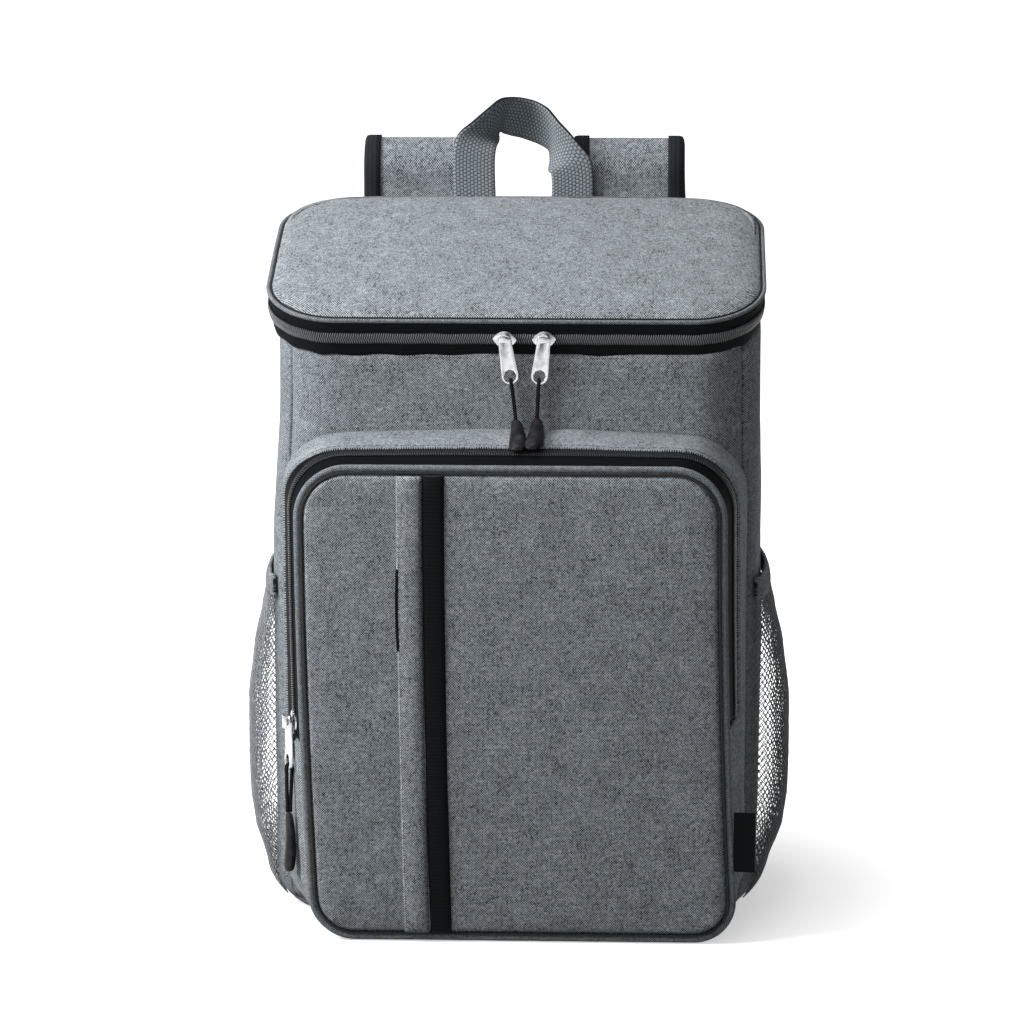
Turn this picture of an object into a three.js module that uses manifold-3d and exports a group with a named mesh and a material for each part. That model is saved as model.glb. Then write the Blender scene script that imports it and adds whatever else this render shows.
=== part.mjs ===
// Cooler backpack: a padded, open-topped box under a sloping zipped lid, with a zipped
// front pocket, two bulging net side pockets, a webbing grab handle and two shoulder straps.
// Millimetres, +Z up, the front faces -Y, and the pack stands on its base.

import * as THREE from "three";
import { mergeVertices } from "three/addons/utils/BufferGeometryUtils.js";
import Module from "manifold-3d";

const wasm = await Module();
wasm.setup();

// Driving dimensions
const CLEARANCE = 0.3;

const BODY = {
  halfWidth: 139,
  depth: 152,
  frontHeight: 326,
  backRise: 56,
  frontCornerRadius: 40,
  backCornerRadius: 36,
  baseRounding: 22,
  wall: 6,
  baseThickness: 6,
  crown: 2.4,
  frontSeamTurn: 50,
  backSeamTurn: 45,
};

const LID = {
  overhang: 3,
  bandHeight: 15.5,
  backDrop: 3.5,
  rimHeight: 4.5,
  padding: 7,
  crown: 7,
  pipingRadius: 1.7,
  tapeThickness: 1.4,
  tapeInset: 1.2,
  coilWidth: 6.4,
  coilThickness: 1.5,
  coilHeightShare: 0.56,
  hingeThickness: 3,
  lipInset: 2.6,
  lipRise: 1.4,
  channelGap: 2.3,
  seatStep: 0.5,
  shoulderStep: 3,
};

const POCKET = {
  halfWidth: 120,
  topDrop: 55.5,
  depth: 48,
  topRadius: 30,
  bottomRadius: 25,
  baseHalfWidth: 132,
  baseTopDrop: 41,
  baseTopRadius: 32,
  baseBottomRadius: 24,
  baseLift: 7.5,
  seat: 0.9,
  arch: 6,
  lean: 8,
  fabric: 2.4,
  bulge: 2.2,
  padding: 5.5,
  crown: 4,
  pipingRadius: 2,
  tapeWidth: 19,
  tapeThickness: 1.4,
  coilWidth: 5.5,
  coilThickness: 1.4,
  leftZipEnd: 111,
  rightZipEnd: 123,
  seamGap: 2.5,
  edgeRound: 1.2,
  rollWidth: 9,
  bandMargin: 1.5,
  bandLift: 0.9,
};

const PLACKET = {
  centreX: -55.6,
  width: 14.2,
  thickness: 1.6,
  slitHeight: 48,
  slitCentre: 190,
  slitWidth: 1.2,
  slitInset: 1.9,
};
const FRONT_WEBBING = { centreX: -42.2, width: 12.1, thickness: 1.5 };
const LABEL = { width: 12, height: 34, thickness: 0.9, centreZ: 58.5 };

const NET = {
  foot: 6,
  hemBottom: 182.5,
  hemHeight: 12.5,
  bulge: 15.4,
  thickness: 1.3,
  hemThickness: 2.2,
  hemStand: 0.5,
  hemFlare: 2,
  seat: 0.9,
};

const HANDLE = { halfSpan: 41.5, width: 25, thickness: 1.6, height: 77, lean: 27 };

const STRAP = {
  centreX: 62,
  width: 66,
  thickness: 9,
  crestRise: 52,
  lowerX: 94,
  lowerHeight: 196,
  reach: 33,
  bindingWidth: 10,
  bindingThickness: 1,
  bindingGap: 0.5,
};

const LOWER_WEBBING = { width: 25, thickness: 1.6, anchorX: 100, anchorHeight: 34, tail: 62, hang: 16 };
const BUCKLE = { width: 33, height: 22, thickness: 3, rail: 3.4, slotWidth: 26.4 };

const PULL = {
  sliderLength: 13.4,
  sliderWidth: 9.4,
  sliderThickness: 3,
  postRadius: 1.4,
  postHeight: 2.4,
  headThickness: 1,
  tabLength: 29,
  tabTopWidth: 7.4,
  tabBottomWidth: 9.6,
  tabThickness: 1.2,
  holeRadius: 3.5,
  cordRadius: 0.75,
  cordRun: 4,
  gripWidth: 7.4,
  gripThickness: 5,
};

// Where each pull sits and hangs. Across is the slider's place from the middle, swing and turn
// lean its tab and body in radians, and each drop, out and side counts from the tab's hole to
// the top and foot of the moulded grip.
const LID_PULLS = [
  {
    end: "_left", across: -4.6, swing: -0.15, turn: 0.06,
    topSide: 3.2, topOut: 3.6, topDrop: 25, footSide: 4.6, footOut: 24, footDrop: 34.5,
  },
  {
    end: "_right", across: 17.4, swing: 0.12, turn: -0.06,
    topSide: -1.7, topOut: 3.6, topDrop: 24, footSide: -3.1, footOut: 24, footDrop: 33.5,
  },
];
const POCKET_PULL = {
  swing: 0.03, turn: Math.PI / 2,
  topSide: 1, topOut: 0.6, topDrop: 27, footSide: 2, footOut: 1, footDrop: 52,
};

// Values that follow from the driving dimensions
const FRONT_Y = -BODY.depth / 2;
const BACK_Y = BODY.depth / 2;
const SLOPE = BODY.backRise / BODY.depth;
const PANEL_Y = FRONT_Y - POCKET.depth;
const PANEL_HEIGHT = BODY.frontHeight - POCKET.topDrop;
const GUSSET_HEIGHT = BODY.frontHeight - POCKET.baseTopDrop;
const FRONT_SEAM = 1 + BODY.frontSeamTurn / 90;
const BACK_SEAM = 3 + BODY.backSeamTurn / 90;
const OUTLINE_END = 5;

// Colours of the finishes
const FINISH = {
  cloth: { color: 0x747b80, roughness: 0.9, metalness: 0 },
  clothLight: { color: 0x8b9297, roughness: 0.9, metalness: 0 },
  zip: { color: 0x15171a, roughness: 0.6, metalness: 0 },
  webbingBlack: { color: 0x0c0d0f, roughness: 0.75, metalness: 0 },
  webbingGrey: { color: 0x70777c, roughness: 0.8, metalness: 0 },
  binding: { color: 0x2a2d31, roughness: 0.8, metalness: 0 },
  net: { color: 0x90969b, roughness: 0.8, metalness: 0 },
  metal: { color: 0xc9ccce, roughness: 0.25, metalness: 1 },
  plastic: { color: 0x101113, roughness: 0.5, metalness: 0 },
};

const backpack = new THREE.Group();

function addPiece(name, geometry, finish) {
  const piece = new THREE.Mesh(geometry, new THREE.MeshStandardMaterial(FINISH[finish]));
  piece.name = name;
  backpack.add(piece);
  return piece;
}

const lerp = THREE.MathUtils.lerp;
const vector = (x, y, z) => new THREE.Vector3(x, y, z);

// A closed mesh from points and faces, turned so that its faces point outwards
function solidGeometry(points, faces) {
  let volume = 0;
  const cross = new THREE.Vector3();
  for (const [a, b, c] of faces) {
    volume += points[a].dot(cross.crossVectors(points[b], points[c]));
  }
  const index = faces.flatMap(([a, b, c]) => (volume < 0 ? [a, c, b] : [a, b, c]));
  const geometry = new THREE.BufferGeometry();
  geometry.setAttribute("position", new THREE.Float32BufferAttribute(points.flatMap((p) => p.toArray()), 3));
  geometry.setIndex(index);
  geometry.computeVertexNormals();
  return geometry;
}

const addQuad = (faces, a, b, c, d) => faces.push([a, b, c], [a, c, d]);

// A wall between two grids of points, closed along its rims. Rows run up the wall.
function wallSolid(outer, inner, looped = false) {
  const rows = outer.length;
  const columns = outer[0].length;
  const points = [...outer.flat(), ...inner.flat()];
  const innerStart = rows * columns;
  const faces = [];
  const last = looped ? columns : columns - 1;
  const at = (row, column) => row * columns + (column % columns);
  for (let row = 0; row < rows - 1; row += 1) {
    for (let column = 0; column < last; column += 1) {
      const corners = [at(row, column), at(row, column + 1), at(row + 1, column + 1), at(row + 1, column)];
      addQuad(faces, ...corners);
      addQuad(faces, ...corners.map((corner) => corner + innerStart).reverse());
    }
  }
  const rim = (a, b) => addQuad(faces, b, a, a + innerStart, b + innerStart);
  for (let column = 0; column < last; column += 1) {
    rim(at(0, column), at(0, column + 1));
    rim(at(rows - 1, column + 1), at(rows - 1, column));
  }
  if (!looped) {
    for (let row = 0; row < rows - 1; row += 1) {
      rim(at(row + 1, 0), at(row, 0));
      rim(at(row, columns - 1), at(row + 1, columns - 1));
    }
  }
  return solidGeometry(points, faces);
}

// A solid through a stack of closed rings, capped at both ends by a fan round the ring's middle
function stackSolid(rings) {
  const columns = rings[0].length;
  const points = rings.flat();
  const faces = [];
  for (let row = 0; row < rings.length - 1; row += 1) {
    for (let column = 0; column < columns; column += 1) {
      const next = (column + 1) % columns;
      const above = (row + 1) * columns;
      addQuad(faces, row * columns + column, row * columns + next, above + next, above + column);
    }
  }
  const cap = (row, flipped) => {
    const middle = rings[row].reduce((sum, p) => sum.add(p), vector(0, 0, 0)).divideScalar(columns);
    points.push(middle);
    const centre = points.length - 1;
    for (let column = 0; column < columns; column += 1) {
      const here = row * columns + column;
      const next = row * columns + ((column + 1) % columns);
      faces.push(flipped ? [centre, next, here] : [centre, here, next]);
    }
  };
  cap(0, true);
  cap(rings.length - 1, false);
  return solidGeometry(points, faces);
}

// A section swept through frames of origin, side and normal
function sweepSolid(frames, section, looped = false) {
  const columns = section.length;
  const points = frames.flatMap((frame) =>
    section.map(([across, out]) =>
      frame.origin.clone().addScaledVector(frame.side, across).addScaledVector(frame.normal, out)));
  const faces = [];
  const last = looped ? frames.length : frames.length - 1;
  for (let row = 0; row < last; row += 1) {
    const above = ((row + 1) % frames.length) * columns;
    for (let column = 0; column < columns; column += 1) {
      const next = (column + 1) % columns;
      addQuad(faces, row * columns + column, row * columns + next, above + next, above + column);
    }
  }
  if (!looped) {
    const outline = section.map(([across, out]) => new THREE.Vector2(across, out));
    const end = (frames.length - 1) * columns;
    for (const [a, b, c] of THREE.ShapeUtils.triangulateShape(outline, [])) {
      const outward = THREE.ShapeUtils.isClockWise(outline) ? [a, b, c] : [c, b, a];
      faces.push(outward, outward.map((corner) => corner + end).reverse());
    }
  }
  return solidGeometry(points, faces);
}

// A round section for piping
function roundSection(radius, sides) {
  return Array.from({ length: sides }, (_, side) => {
    const turn = (side * 2 * Math.PI) / sides;
    return [radius * Math.cos(turn), radius * Math.sin(turn)];
  });
}

// A rounded rectangle read by one number: 0 is the middle of the near side, 1 the end of that
// side, 2 the end of its corner, 3 the end of the long side, 4 the end of the far corner and 5
// the middle of the far side. Negative numbers, and numbers past 5, run down the mirrored side.
function outlineAt(place, shape, inset = 0) {
  if (place < 0) {
    return mirrored(outlineAt(-place, shape, inset));
  }
  if (place > OUTLINE_END) {
    return mirrored(outlineAt(2 * OUTLINE_END - place, shape, inset));
  }
  const { halfWidth, near, far, nearRadius, farRadius } = shape;
  const along = Math.sign(far - near);
  const segment = Math.min(Math.floor(place), OUTLINE_END - 1);
  const share = place - segment;
  const corner = (centreX, centreY, radius, turn) => ({
    x: centreX + (radius - inset) * Math.cos(turn),
    y: centreY + along * (radius - inset) * Math.sin(turn),
    nx: Math.cos(turn),
    ny: along * Math.sin(turn),
  });
  const quarter = Math.PI / 2;
  if (segment === 0) {
    return { x: share * (halfWidth - nearRadius), y: near + along * inset, nx: 0, ny: -along };
  }
  if (segment === 1) {
    return corner(halfWidth - nearRadius, near + along * nearRadius, nearRadius, (share - 1) * quarter);
  }
  if (segment === 2) {
    const y = lerp(near + along * nearRadius, far - along * farRadius, share);
    return { x: halfWidth - inset, y, nx: 1, ny: 0 };
  }
  if (segment === 3) {
    return corner(halfWidth - farRadius, far - along * farRadius, farRadius, share * quarter);
  }
  return { x: (1 - share) * (halfWidth - farRadius), y: far - along * inset, nx: 0, ny: along };
}

const mirrored = (point) => ({ ...point, x: -point.x, nx: -point.nx });

// Places along an outline between two of its numbers, with the given steps in each stretch
function placesBetween(start, end, steps) {
  const places = [start];
  for (let whole = Math.floor(start); whole < end; whole += 1) {
    const period = 2 * OUTLINE_END;
    const wrapped = ((whole % period) + period) % period;
    const stretch = wrapped < OUTLINE_END ? wrapped : period - 1 - wrapped;
    for (let step = 1; step <= steps[stretch]; step += 1) {
      const place = whole + step / steps[stretch];
      if (place > start + 0.02 && place < end - 0.02) {
        places.push(place);
      }
    }
  }
  places.push(end);
  return places;
}

// All places round a closed outline, each once
const placesAround = (steps) => placesBetween(-OUTLINE_END, OUTLINE_END, steps).slice(0, -1);

const BODY_PLAN = {
  halfWidth: BODY.halfWidth,
  near: FRONT_Y,
  far: BACK_Y,
  nearRadius: BODY.frontCornerRadius,
  farRadius: BODY.backCornerRadius,
};

const LID_PLAN = {
  halfWidth: BODY.halfWidth + LID.overhang,
  near: FRONT_Y - LID.overhang,
  far: BACK_Y + LID.overhang,
  nearRadius: BODY.frontCornerRadius + LID.overhang,
  farRadius: BODY.backCornerRadius + LID.overhang,
};

// How far the rounded foot of the body draws in at a height
function footInset(z) {
  const below = Math.max(0, (BODY.baseRounding - z) / BODY.baseRounding);
  return BODY.baseRounding * (1 - Math.sqrt(1 - Math.min(1, below * below)));
}

// How far the padded walls swell between the seams: most in the middle of a flat side
function crownAt(place, z) {
  const turned = OUTLINE_END - Math.abs(OUTLINE_END - Math.abs(place));
  const segment = Math.min(Math.floor(turned), OUTLINE_END - 1);
  const share = turned - segment;
  const rise = Math.sin(Math.PI * THREE.MathUtils.clamp(z / BODY.frontHeight, 0, 1));
  if (segment === 0) {
    return BODY.crown * rise * (1 - share * share);
  }
  if (segment === 2) {
    return BODY.crown * rise * (1 - (2 * share - 1) ** 2);
  }
  return segment === 4 ? BODY.crown * rise * (1 - (1 - share) ** 2) : 0;
}

// A point on the body's outer skin, moved outwards by stand
function bodySkin(place, z, stand = 0) {
  const spot = outlineAt(place, BODY_PLAN, footInset(z) - crownAt(place, z) - stand);
  return vector(spot.x, spot.y, z);
}

const bodyTopAt = (y) => BODY.frontHeight + SLOPE * (y - FRONT_Y);
const lidRimAt = (y) =>
  bodyTopAt(y) + LID.bandHeight - LID.backDrop * Math.max(0, (y - FRONT_Y) / BODY.depth) ** 2;

// Heights of the body's rings: close together round the foot, then by shares of the rest
const BASE_FOOT_SHARES = [0.45, 0.72, 1];
const WALL_SHARES = [0.2, 0.4, 0.6, 0.8, 1];

const footHeights = (start) =>
  [start, ...BASE_FOOT_SHARES.map((share) => lerp(start, BODY.baseRounding, share))];

function wallRows() {
  return footHeights(BODY.baseThickness + CLEARANCE).map((z) => () => z).concat(
    WALL_SHARES.map((share) => (y) => lerp(BODY.baseRounding, bodyTopAt(y), share)));
}

function bodyWall(places) {
  const rows = wallRows();
  const grid = (stand) => rows.map((heightAt) => places.map((place) => {
    const plan = outlineAt(place, BODY_PLAN);
    return bodySkin(place, heightAt(plan.y), stand);
  }));
  return wallSolid(grid(0), grid(-BODY.wall));
}

function addBody() {
  const steps = [4, 5, 4, 5, 3];
  const gap = CLEARANCE / BODY.frontCornerRadius;
  const front = placesBetween(-FRONT_SEAM, FRONT_SEAM, steps);
  addPiece("front_wall", bodyWall(front), "cloth");
  const side = placesBetween(FRONT_SEAM + gap, BACK_SEAM - gap, steps);
  addPiece("right_side_wall", bodyWall(side), "cloth");
  addPiece("left_side_wall", bodyWall(side.map((place) => -place)), "cloth");
  addPiece("back_wall", bodyWall(placesBetween(BACK_SEAM, 2 * OUTLINE_END - BACK_SEAM, steps)), "cloth");

  const around = placesAround(steps);
  const rings = [0, 0.45, 1].map((share) => {
    const z = share * BODY.baseThickness;
    const inset = footInset(lerp(BODY.baseThickness * 0.3, BODY.baseThickness, share));
    return around.map((place) => {
      const spot = outlineAt(place, BODY_PLAN, inset);
      return vector(spot.x, spot.y, z);
    });
  });
  addPiece("base_panel", stackSolid(rings), "cloth");
}

// Sections of the lid from the middle of its underside, round its rim, to the middle of its
// top. Inset counts from the lid's outline, rise from its rim, and spread scales a ring.
function lidSections() {
  const seat = LID.rimHeight + LID.seatStep;
  const shoulder = seat + LID.shoulderStep;
  const channel = 2 * LID.pipingRadius + 2 * CLEARANCE + LID.channelGap;
  return [
    { inset: channel, spread: 0.4, rise: shoulder + LID.crown * 0.95 - LID.padding },
    { inset: channel, spread: 0.75, rise: shoulder + LID.crown * 0.62 - LID.padding },
    { inset: LID.lipInset, spread: 1, rise: 0 },
    { inset: 0, spread: 1, rise: LID.lipRise },
    { inset: 0, spread: 1, rise: LID.rimHeight },
    { inset: channel, spread: 1, rise: seat },
    { inset: channel + LID.seatStep, spread: 1, rise: shoulder },
    { inset: channel, spread: 0.75, rise: shoulder + LID.crown * 0.62 },
    { inset: channel, spread: 0.4, rise: shoulder + LID.crown * 0.95 },
  ];
}

function lidPoint(place, section, stand = 0) {
  const spot = outlineAt(place, LID_PLAN, section.inset - stand);
  const x = spot.x * section.spread;
  const y = spot.y * section.spread;
  return vector(x, y, lidRimAt(y) + section.rise);
}

// Piping: a round cord along a closed loop of points
function pipingSolid(loop, radius) {
  const count = loop.length;
  const frames = loop.map((origin, index) => {
    const tangent = loop[(index + 1) % count].clone().sub(loop[(index + count - 1) % count]).normalize();
    const away = vector(0, 0, 1).cross(tangent).length() > 0.2 ? vector(0, 0, 1) : vector(0, 1, 0);
    const side = away.clone().cross(tangent).normalize();
    return { origin, side, normal: tangent.clone().cross(side) };
  });
  return sweepSolid(frames, roundSection(radius, 5), true);
}

function addLid() {
  const steps = [3, 6, 3, 6, 3];
  const around = placesAround(steps);
  const sections = lidSections();
  addPiece("lid_panel", stackSolid(sections.map((section) =>
    around.map((place) => lidPoint(place, section)))), "clothLight");

  const pipingSection = {
    inset: LID.pipingRadius + CLEARANCE + LID.channelGap - CLEARANCE,
    spread: 1,
    rise: LID.rimHeight + LID.seatStep + LID.pipingRadius + CLEARANCE,
  };
  addPiece("lid_piping", pipingSolid(around.map((place) =>
    lidPoint(place, pipingSection)), LID.pipingRadius), "cloth");

  // The band between body and lid: zip tape round the front and sides, a cloth hinge at the back
  const ribbon = (places, stand, thickness, lowShare, highShare) => {
    const grid = (out) => [lowShare, highShare].map((share) => places.map((place) => {
      const rimY = outlineAt(place, BODY_PLAN).y;
      const plan = outlineAt(place, BODY_PLAN, LID.tapeInset - out);
      return vector(plan.x, plan.y, lerp(bodyTopAt(rimY) + CLEARANCE, lidRimAt(rimY) - 2 * CLEARANCE, share));
    }));
    return wallSolid(grid(stand), grid(stand - thickness));
  };
  const tapePlaces = placesBetween(-BACK_SEAM, BACK_SEAM, steps);
  const hingePlaces = placesBetween(BACK_SEAM + 0.01, 2 * OUTLINE_END - BACK_SEAM - 0.01, steps);
  const coilHalfShare = LID.coilWidth / LID.bandHeight / 2;
  const coilStand = LID.coilThickness + CLEARANCE;
  addPiece("lid_zip_tape", ribbon(tapePlaces, 0, LID.tapeThickness, 0, 1), "zip");
  addPiece("lid_zip_coil", ribbon(tapePlaces, coilStand, LID.coilThickness,
    LID.coilHeightShare - coilHalfShare, LID.coilHeightShare + coilHalfShare), "zip");
  addPiece("lid_hinge", ribbon(hingePlaces, LID.tapeInset, LID.hingeThickness, 0, 1), "cloth");
}

// Outline of the pocket's padded front, in X and Z
const PANEL_OUTLINE = {
  halfWidth: POCKET.halfWidth,
  near: PANEL_HEIGHT,
  far: 0,
  nearRadius: POCKET.topRadius,
  farRadius: POCKET.bottomRadius,
};

// Outline where the pocket's gusset is sewn to the body, in X and Z
const BASE_OUTLINE = {
  halfWidth: POCKET.baseHalfWidth,
  near: GUSSET_HEIGHT - POCKET.arch,
  far: POCKET.baseLift,
  nearRadius: POCKET.baseTopRadius,
  farRadius: POCKET.baseBottomRadius,
};

// The pocket's front leans sideways towards its foot
const panelLean = (z) => POCKET.lean * (1 - THREE.MathUtils.clamp(z / PANEL_HEIGHT, 0, 1)) ** 2;

function panelSpot(place, inset) {
  const spot = outlineAt(place, PANEL_OUTLINE, inset);
  return { x: spot.x + panelLean(spot.y), z: spot.y, nx: spot.nx, nz: spot.ny };
}

// The front of the body's skin above a point of X and Z
function frontSkinY(x, z) {
  const inset = footInset(z);
  const flatHalf = BODY.halfWidth - BODY.frontCornerRadius;
  const beyond = Math.abs(x) - flatHalf;
  if (beyond <= 0) {
    return FRONT_Y + inset - crownAt(Math.abs(x) / flatHalf, z);
  }
  const radius = BODY.frontCornerRadius - inset;
  const reach = Math.min(beyond, radius * 0.97);
  return FRONT_Y + BODY.frontCornerRadius - Math.sqrt(radius * radius - reach * reach);
}

// A point of the pocket's gusset: share 0 lies on the body, share 1 behind the front piping
function gussetPoint(place, share, stand) {
  const base = outlineAt(place, BASE_OUTLINE, -stand);
  const archShare = Math.max(0, 1 - (base.x / POCKET.baseHalfWidth) ** 2);
  const baseZ = base.y + (Math.abs(place) < 2 ? POCKET.arch * archShare : 0);
  const baseY = frontSkinY(base.x, baseZ) - POCKET.seat;
  const panel = panelSpot(place, -stand + 1);
  const frontY = PANEL_Y + 2 * POCKET.pipingRadius + CLEARANCE;
  const swell = POCKET.bulge * Math.sin(Math.PI * share) * (panel.z > POCKET.bottomRadius ? 1 : 0);
  return vector(
    lerp(base.x, panel.x, share) + base.nx * swell,
    lerp(baseY, frontY, share),
    lerp(baseZ, panel.z, share) + base.ny * swell);
}

// Shares of the gusset's depth where the zip tape starts, and from there to the zip chain
const POCKET_TAPE_SHARE = 1 - POCKET.tapeWidth / POCKET.depth;
const POCKET_COIL_START = 0.04;

// Place on the pocket's outline where its long side passes a height
function placeAtHeight(z) {
  const top = PANEL_HEIGHT - POCKET.topRadius;
  return 2 + (top - z) / (top - POCKET.bottomRadius);
}

function addPocket() {
  const steps = [4, 5, 3, 4, 4];
  const leftEnd = -placeAtHeight(POCKET.leftZipEnd);
  const rightEnd = placeAtHeight(POCKET.rightZipEnd);
  const stepPlace = POCKET.seamGap / PANEL_HEIGHT;

  // The gusset is full depth round the foot and stops short of the zip above it
  const upper = placesBetween(leftEnd, rightEnd, steps);
  const lower = placesBetween(rightEnd + stepPlace, 2 * OUTLINE_END + leftEnd - stepPlace, steps);
  const stations = upper.map((place) => ({ place, reach: POCKET_TAPE_SHARE }))
    .concat(lower.map((place) => ({ place, reach: 1 })));
  const gussetShares = [0, 0.35, 0.7, 1];
  const grid = (stand) => gussetShares.map((share) =>
    stations.map(({ place, reach }) => gussetPoint(place > OUTLINE_END ? place - 2 * OUTLINE_END : place,
      share * reach, stand)));
  addPiece("pocket_gusset", wallSolid(grid(0), grid(-POCKET.fabric), true), "clothLight");

  const tapePlaces = placesBetween(leftEnd + stepPlace / 4, rightEnd - stepPlace / 4, steps);
  const ribbon = (stand, thickness, from, to) => {
    const strip = (out) =>
      [from, to].map((share) => tapePlaces.map((place) => gussetPoint(place, share, out)));
    return wallSolid(strip(stand), strip(stand - thickness));
  };
  const tapeStart = POCKET_TAPE_SHARE + 2 * CLEARANCE / POCKET.depth;
  const coilStart = POCKET_TAPE_SHARE + POCKET_COIL_START;
  const coilEnd = coilStart + POCKET.coilWidth / POCKET.depth;
  const tapeStand = -0.5;
  const coilStand = tapeStand + CLEARANCE + POCKET.coilThickness;
  addPiece("pocket_zip_tape", ribbon(tapeStand, POCKET.tapeThickness, tapeStart, 1), "zip");
  addPiece("pocket_zip_coil", ribbon(coilStand, POCKET.coilThickness, coilStart, coilEnd), "zip");

  const around = placesAround(steps);
  const pipingLoop = around.map((place) => {
    const spot = panelSpot(place, POCKET.pipingRadius);
    return vector(spot.x, PANEL_Y + POCKET.pipingRadius, spot.z);
  });
  addPiece("pocket_piping", pipingSolid(pipingLoop, POCKET.pipingRadius), "cloth");
  addPiece("pocket_panel", stackSolid(panelSections().map((section) =>
    around.map((place) => panelPoint(place, section)))), "cloth");
}

// Sections of the padded pocket front from the middle of its back to the middle of its face
function panelSections() {
  const edge = 2 * POCKET.pipingRadius + CLEARANCE;
  return [
    { inset: edge, spread: 0.5, out: -POCKET.padding },
    { inset: edge + POCKET.edgeRound / 2, spread: 1, out: -POCKET.padding },
    { inset: edge, spread: 1, out: -POCKET.pipingRadius },
    { inset: edge + POCKET.edgeRound, spread: 1, out: 0 },
    { inset: edge + POCKET.rollWidth, spread: 1, out: POCKET.crown * 0.5 },
    { inset: edge, spread: 0.72, out: POCKET.crown * 0.85 },
    { inset: edge, spread: 0.4, out: POCKET.crown },
  ];
}

const PANEL_MIDDLE_Z = PANEL_HEIGHT / 2;

function panelPoint(place, section) {
  const spot = outlineAt(place, PANEL_OUTLINE, section.inset);
  const z = lerp(PANEL_MIDDLE_Z, spot.y, section.spread);
  return vector(spot.x * section.spread + panelLean(z), PANEL_Y - section.out, z);
}

// How far the padded face stands in front of its edge plane at a point of X and Z. The face is
// read as a flat cushion: full in its middle and falling to nothing at its border.
function panelFaceOut(x, z) {
  const edge = 2 * POCKET.pipingRadius + CLEARANCE;
  const sideways = POCKET.halfWidth - edge - Math.abs(x - panelLean(z));
  const border = Math.min(sideways, z - edge, PANEL_HEIGHT - edge - z);
  const inwards = (border - POCKET.rollWidth) / (POCKET.halfWidth - POCKET.rollWidth);
  return POCKET.crown * THREE.MathUtils.clamp(0.5 + 0.5 * inwards, 0, 1);
}

const BAND_SHARES = [0, 0.035, 0.12, 0.3, 0.5, 0.7, 0.88, 0.965, 1];

// A flat band down the pocket's face, laid a clearance in front of it
function faceBand(centreX, width, thickness) {
  const edge = 2 * POCKET.pipingRadius + CLEARANCE + POCKET.bandMargin;
  const heights = BAND_SHARES.map((share) => lerp(edge, PANEL_HEIGHT - edge, share));
  const lift = CLEARANCE + POCKET.bandLift;
  const grid = (out) => heights.map((z) => [-0.5, 0.5].map((share) => {
    const x = centreX + share * width + panelLean(z) / 2;
    return vector(x, PANEL_Y - panelFaceOut(x, z) - lift - out, z);
  }));
  return wallSolid(grid(thickness), grid(0));
}

// Boolean work: a three.js geometry to a solid of the library and back
function toManifold(geometry) {
  const plain = geometry.index ? geometry.toNonIndexed() : geometry.clone();
  plain.deleteAttribute("normal");
  plain.deleteAttribute("uv");
  const merged = mergeVertices(plain);
  return new wasm.Manifold(new wasm.Mesh({
    numProp: 3,
    vertProperties: merged.attributes.position.array,
    triVerts: new Uint32Array(merged.index.array),
  }));
}

function fromManifold(manifold) {
  const mesh = manifold.getMesh();
  const geometry = new THREE.BufferGeometry();
  geometry.setAttribute("position", new THREE.BufferAttribute(new Float32Array(mesh.vertProperties), 3));
  geometry.setIndex(new THREE.BufferAttribute(new Uint32Array(mesh.triVerts), 1));
  geometry.computeVertexNormals();
  return geometry;
}

function addPocketTrim() {
  const slit = new THREE.BoxGeometry(PLACKET.slitWidth, POCKET.depth, PLACKET.slitHeight);
  slit.translate(PLACKET.centreX - PLACKET.width / 2 + PLACKET.slitInset, PANEL_Y, PLACKET.slitCentre);
  const strip = toManifold(faceBand(PLACKET.centreX, PLACKET.width, PLACKET.thickness));
  addPiece("placket", fromManifold(strip.subtract(toManifold(slit))), "clothLight");
  addPiece("front_webbing",
    faceBand(FRONT_WEBBING.centreX, FRONT_WEBBING.width, FRONT_WEBBING.thickness), "webbingBlack");

  const label = new THREE.BoxGeometry(LABEL.width, LABEL.thickness, LABEL.height);
  const labelLeft = POCKET.halfWidth + panelLean(LABEL.centreZ) + 3 * CLEARANCE;
  label.translate(LABEL.width / 2, 0, 0);
  label.rotateZ(THREE.MathUtils.degToRad(14));
  label.translate(labelLeft, PANEL_Y + POCKET.pipingRadius - 1, LABEL.centreZ);
  addPiece("side_label", label, "webbingBlack");
}

// Heights of the net between the body's rounded foot and the hem, and how far it swells there
const NET_FOOT_SWELL = 0.35;
const NET_SECTIONS = [
  { height: 0.16, swell: 0.78 },
  { height: 0.36, swell: 1 },
  { height: 0.58, swell: 0.97 },
  { height: 0.78, swell: 0.72 },
  { height: 0.92, swell: 0.42 },
  { height: 1, swell: 0.25 },
];

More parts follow.
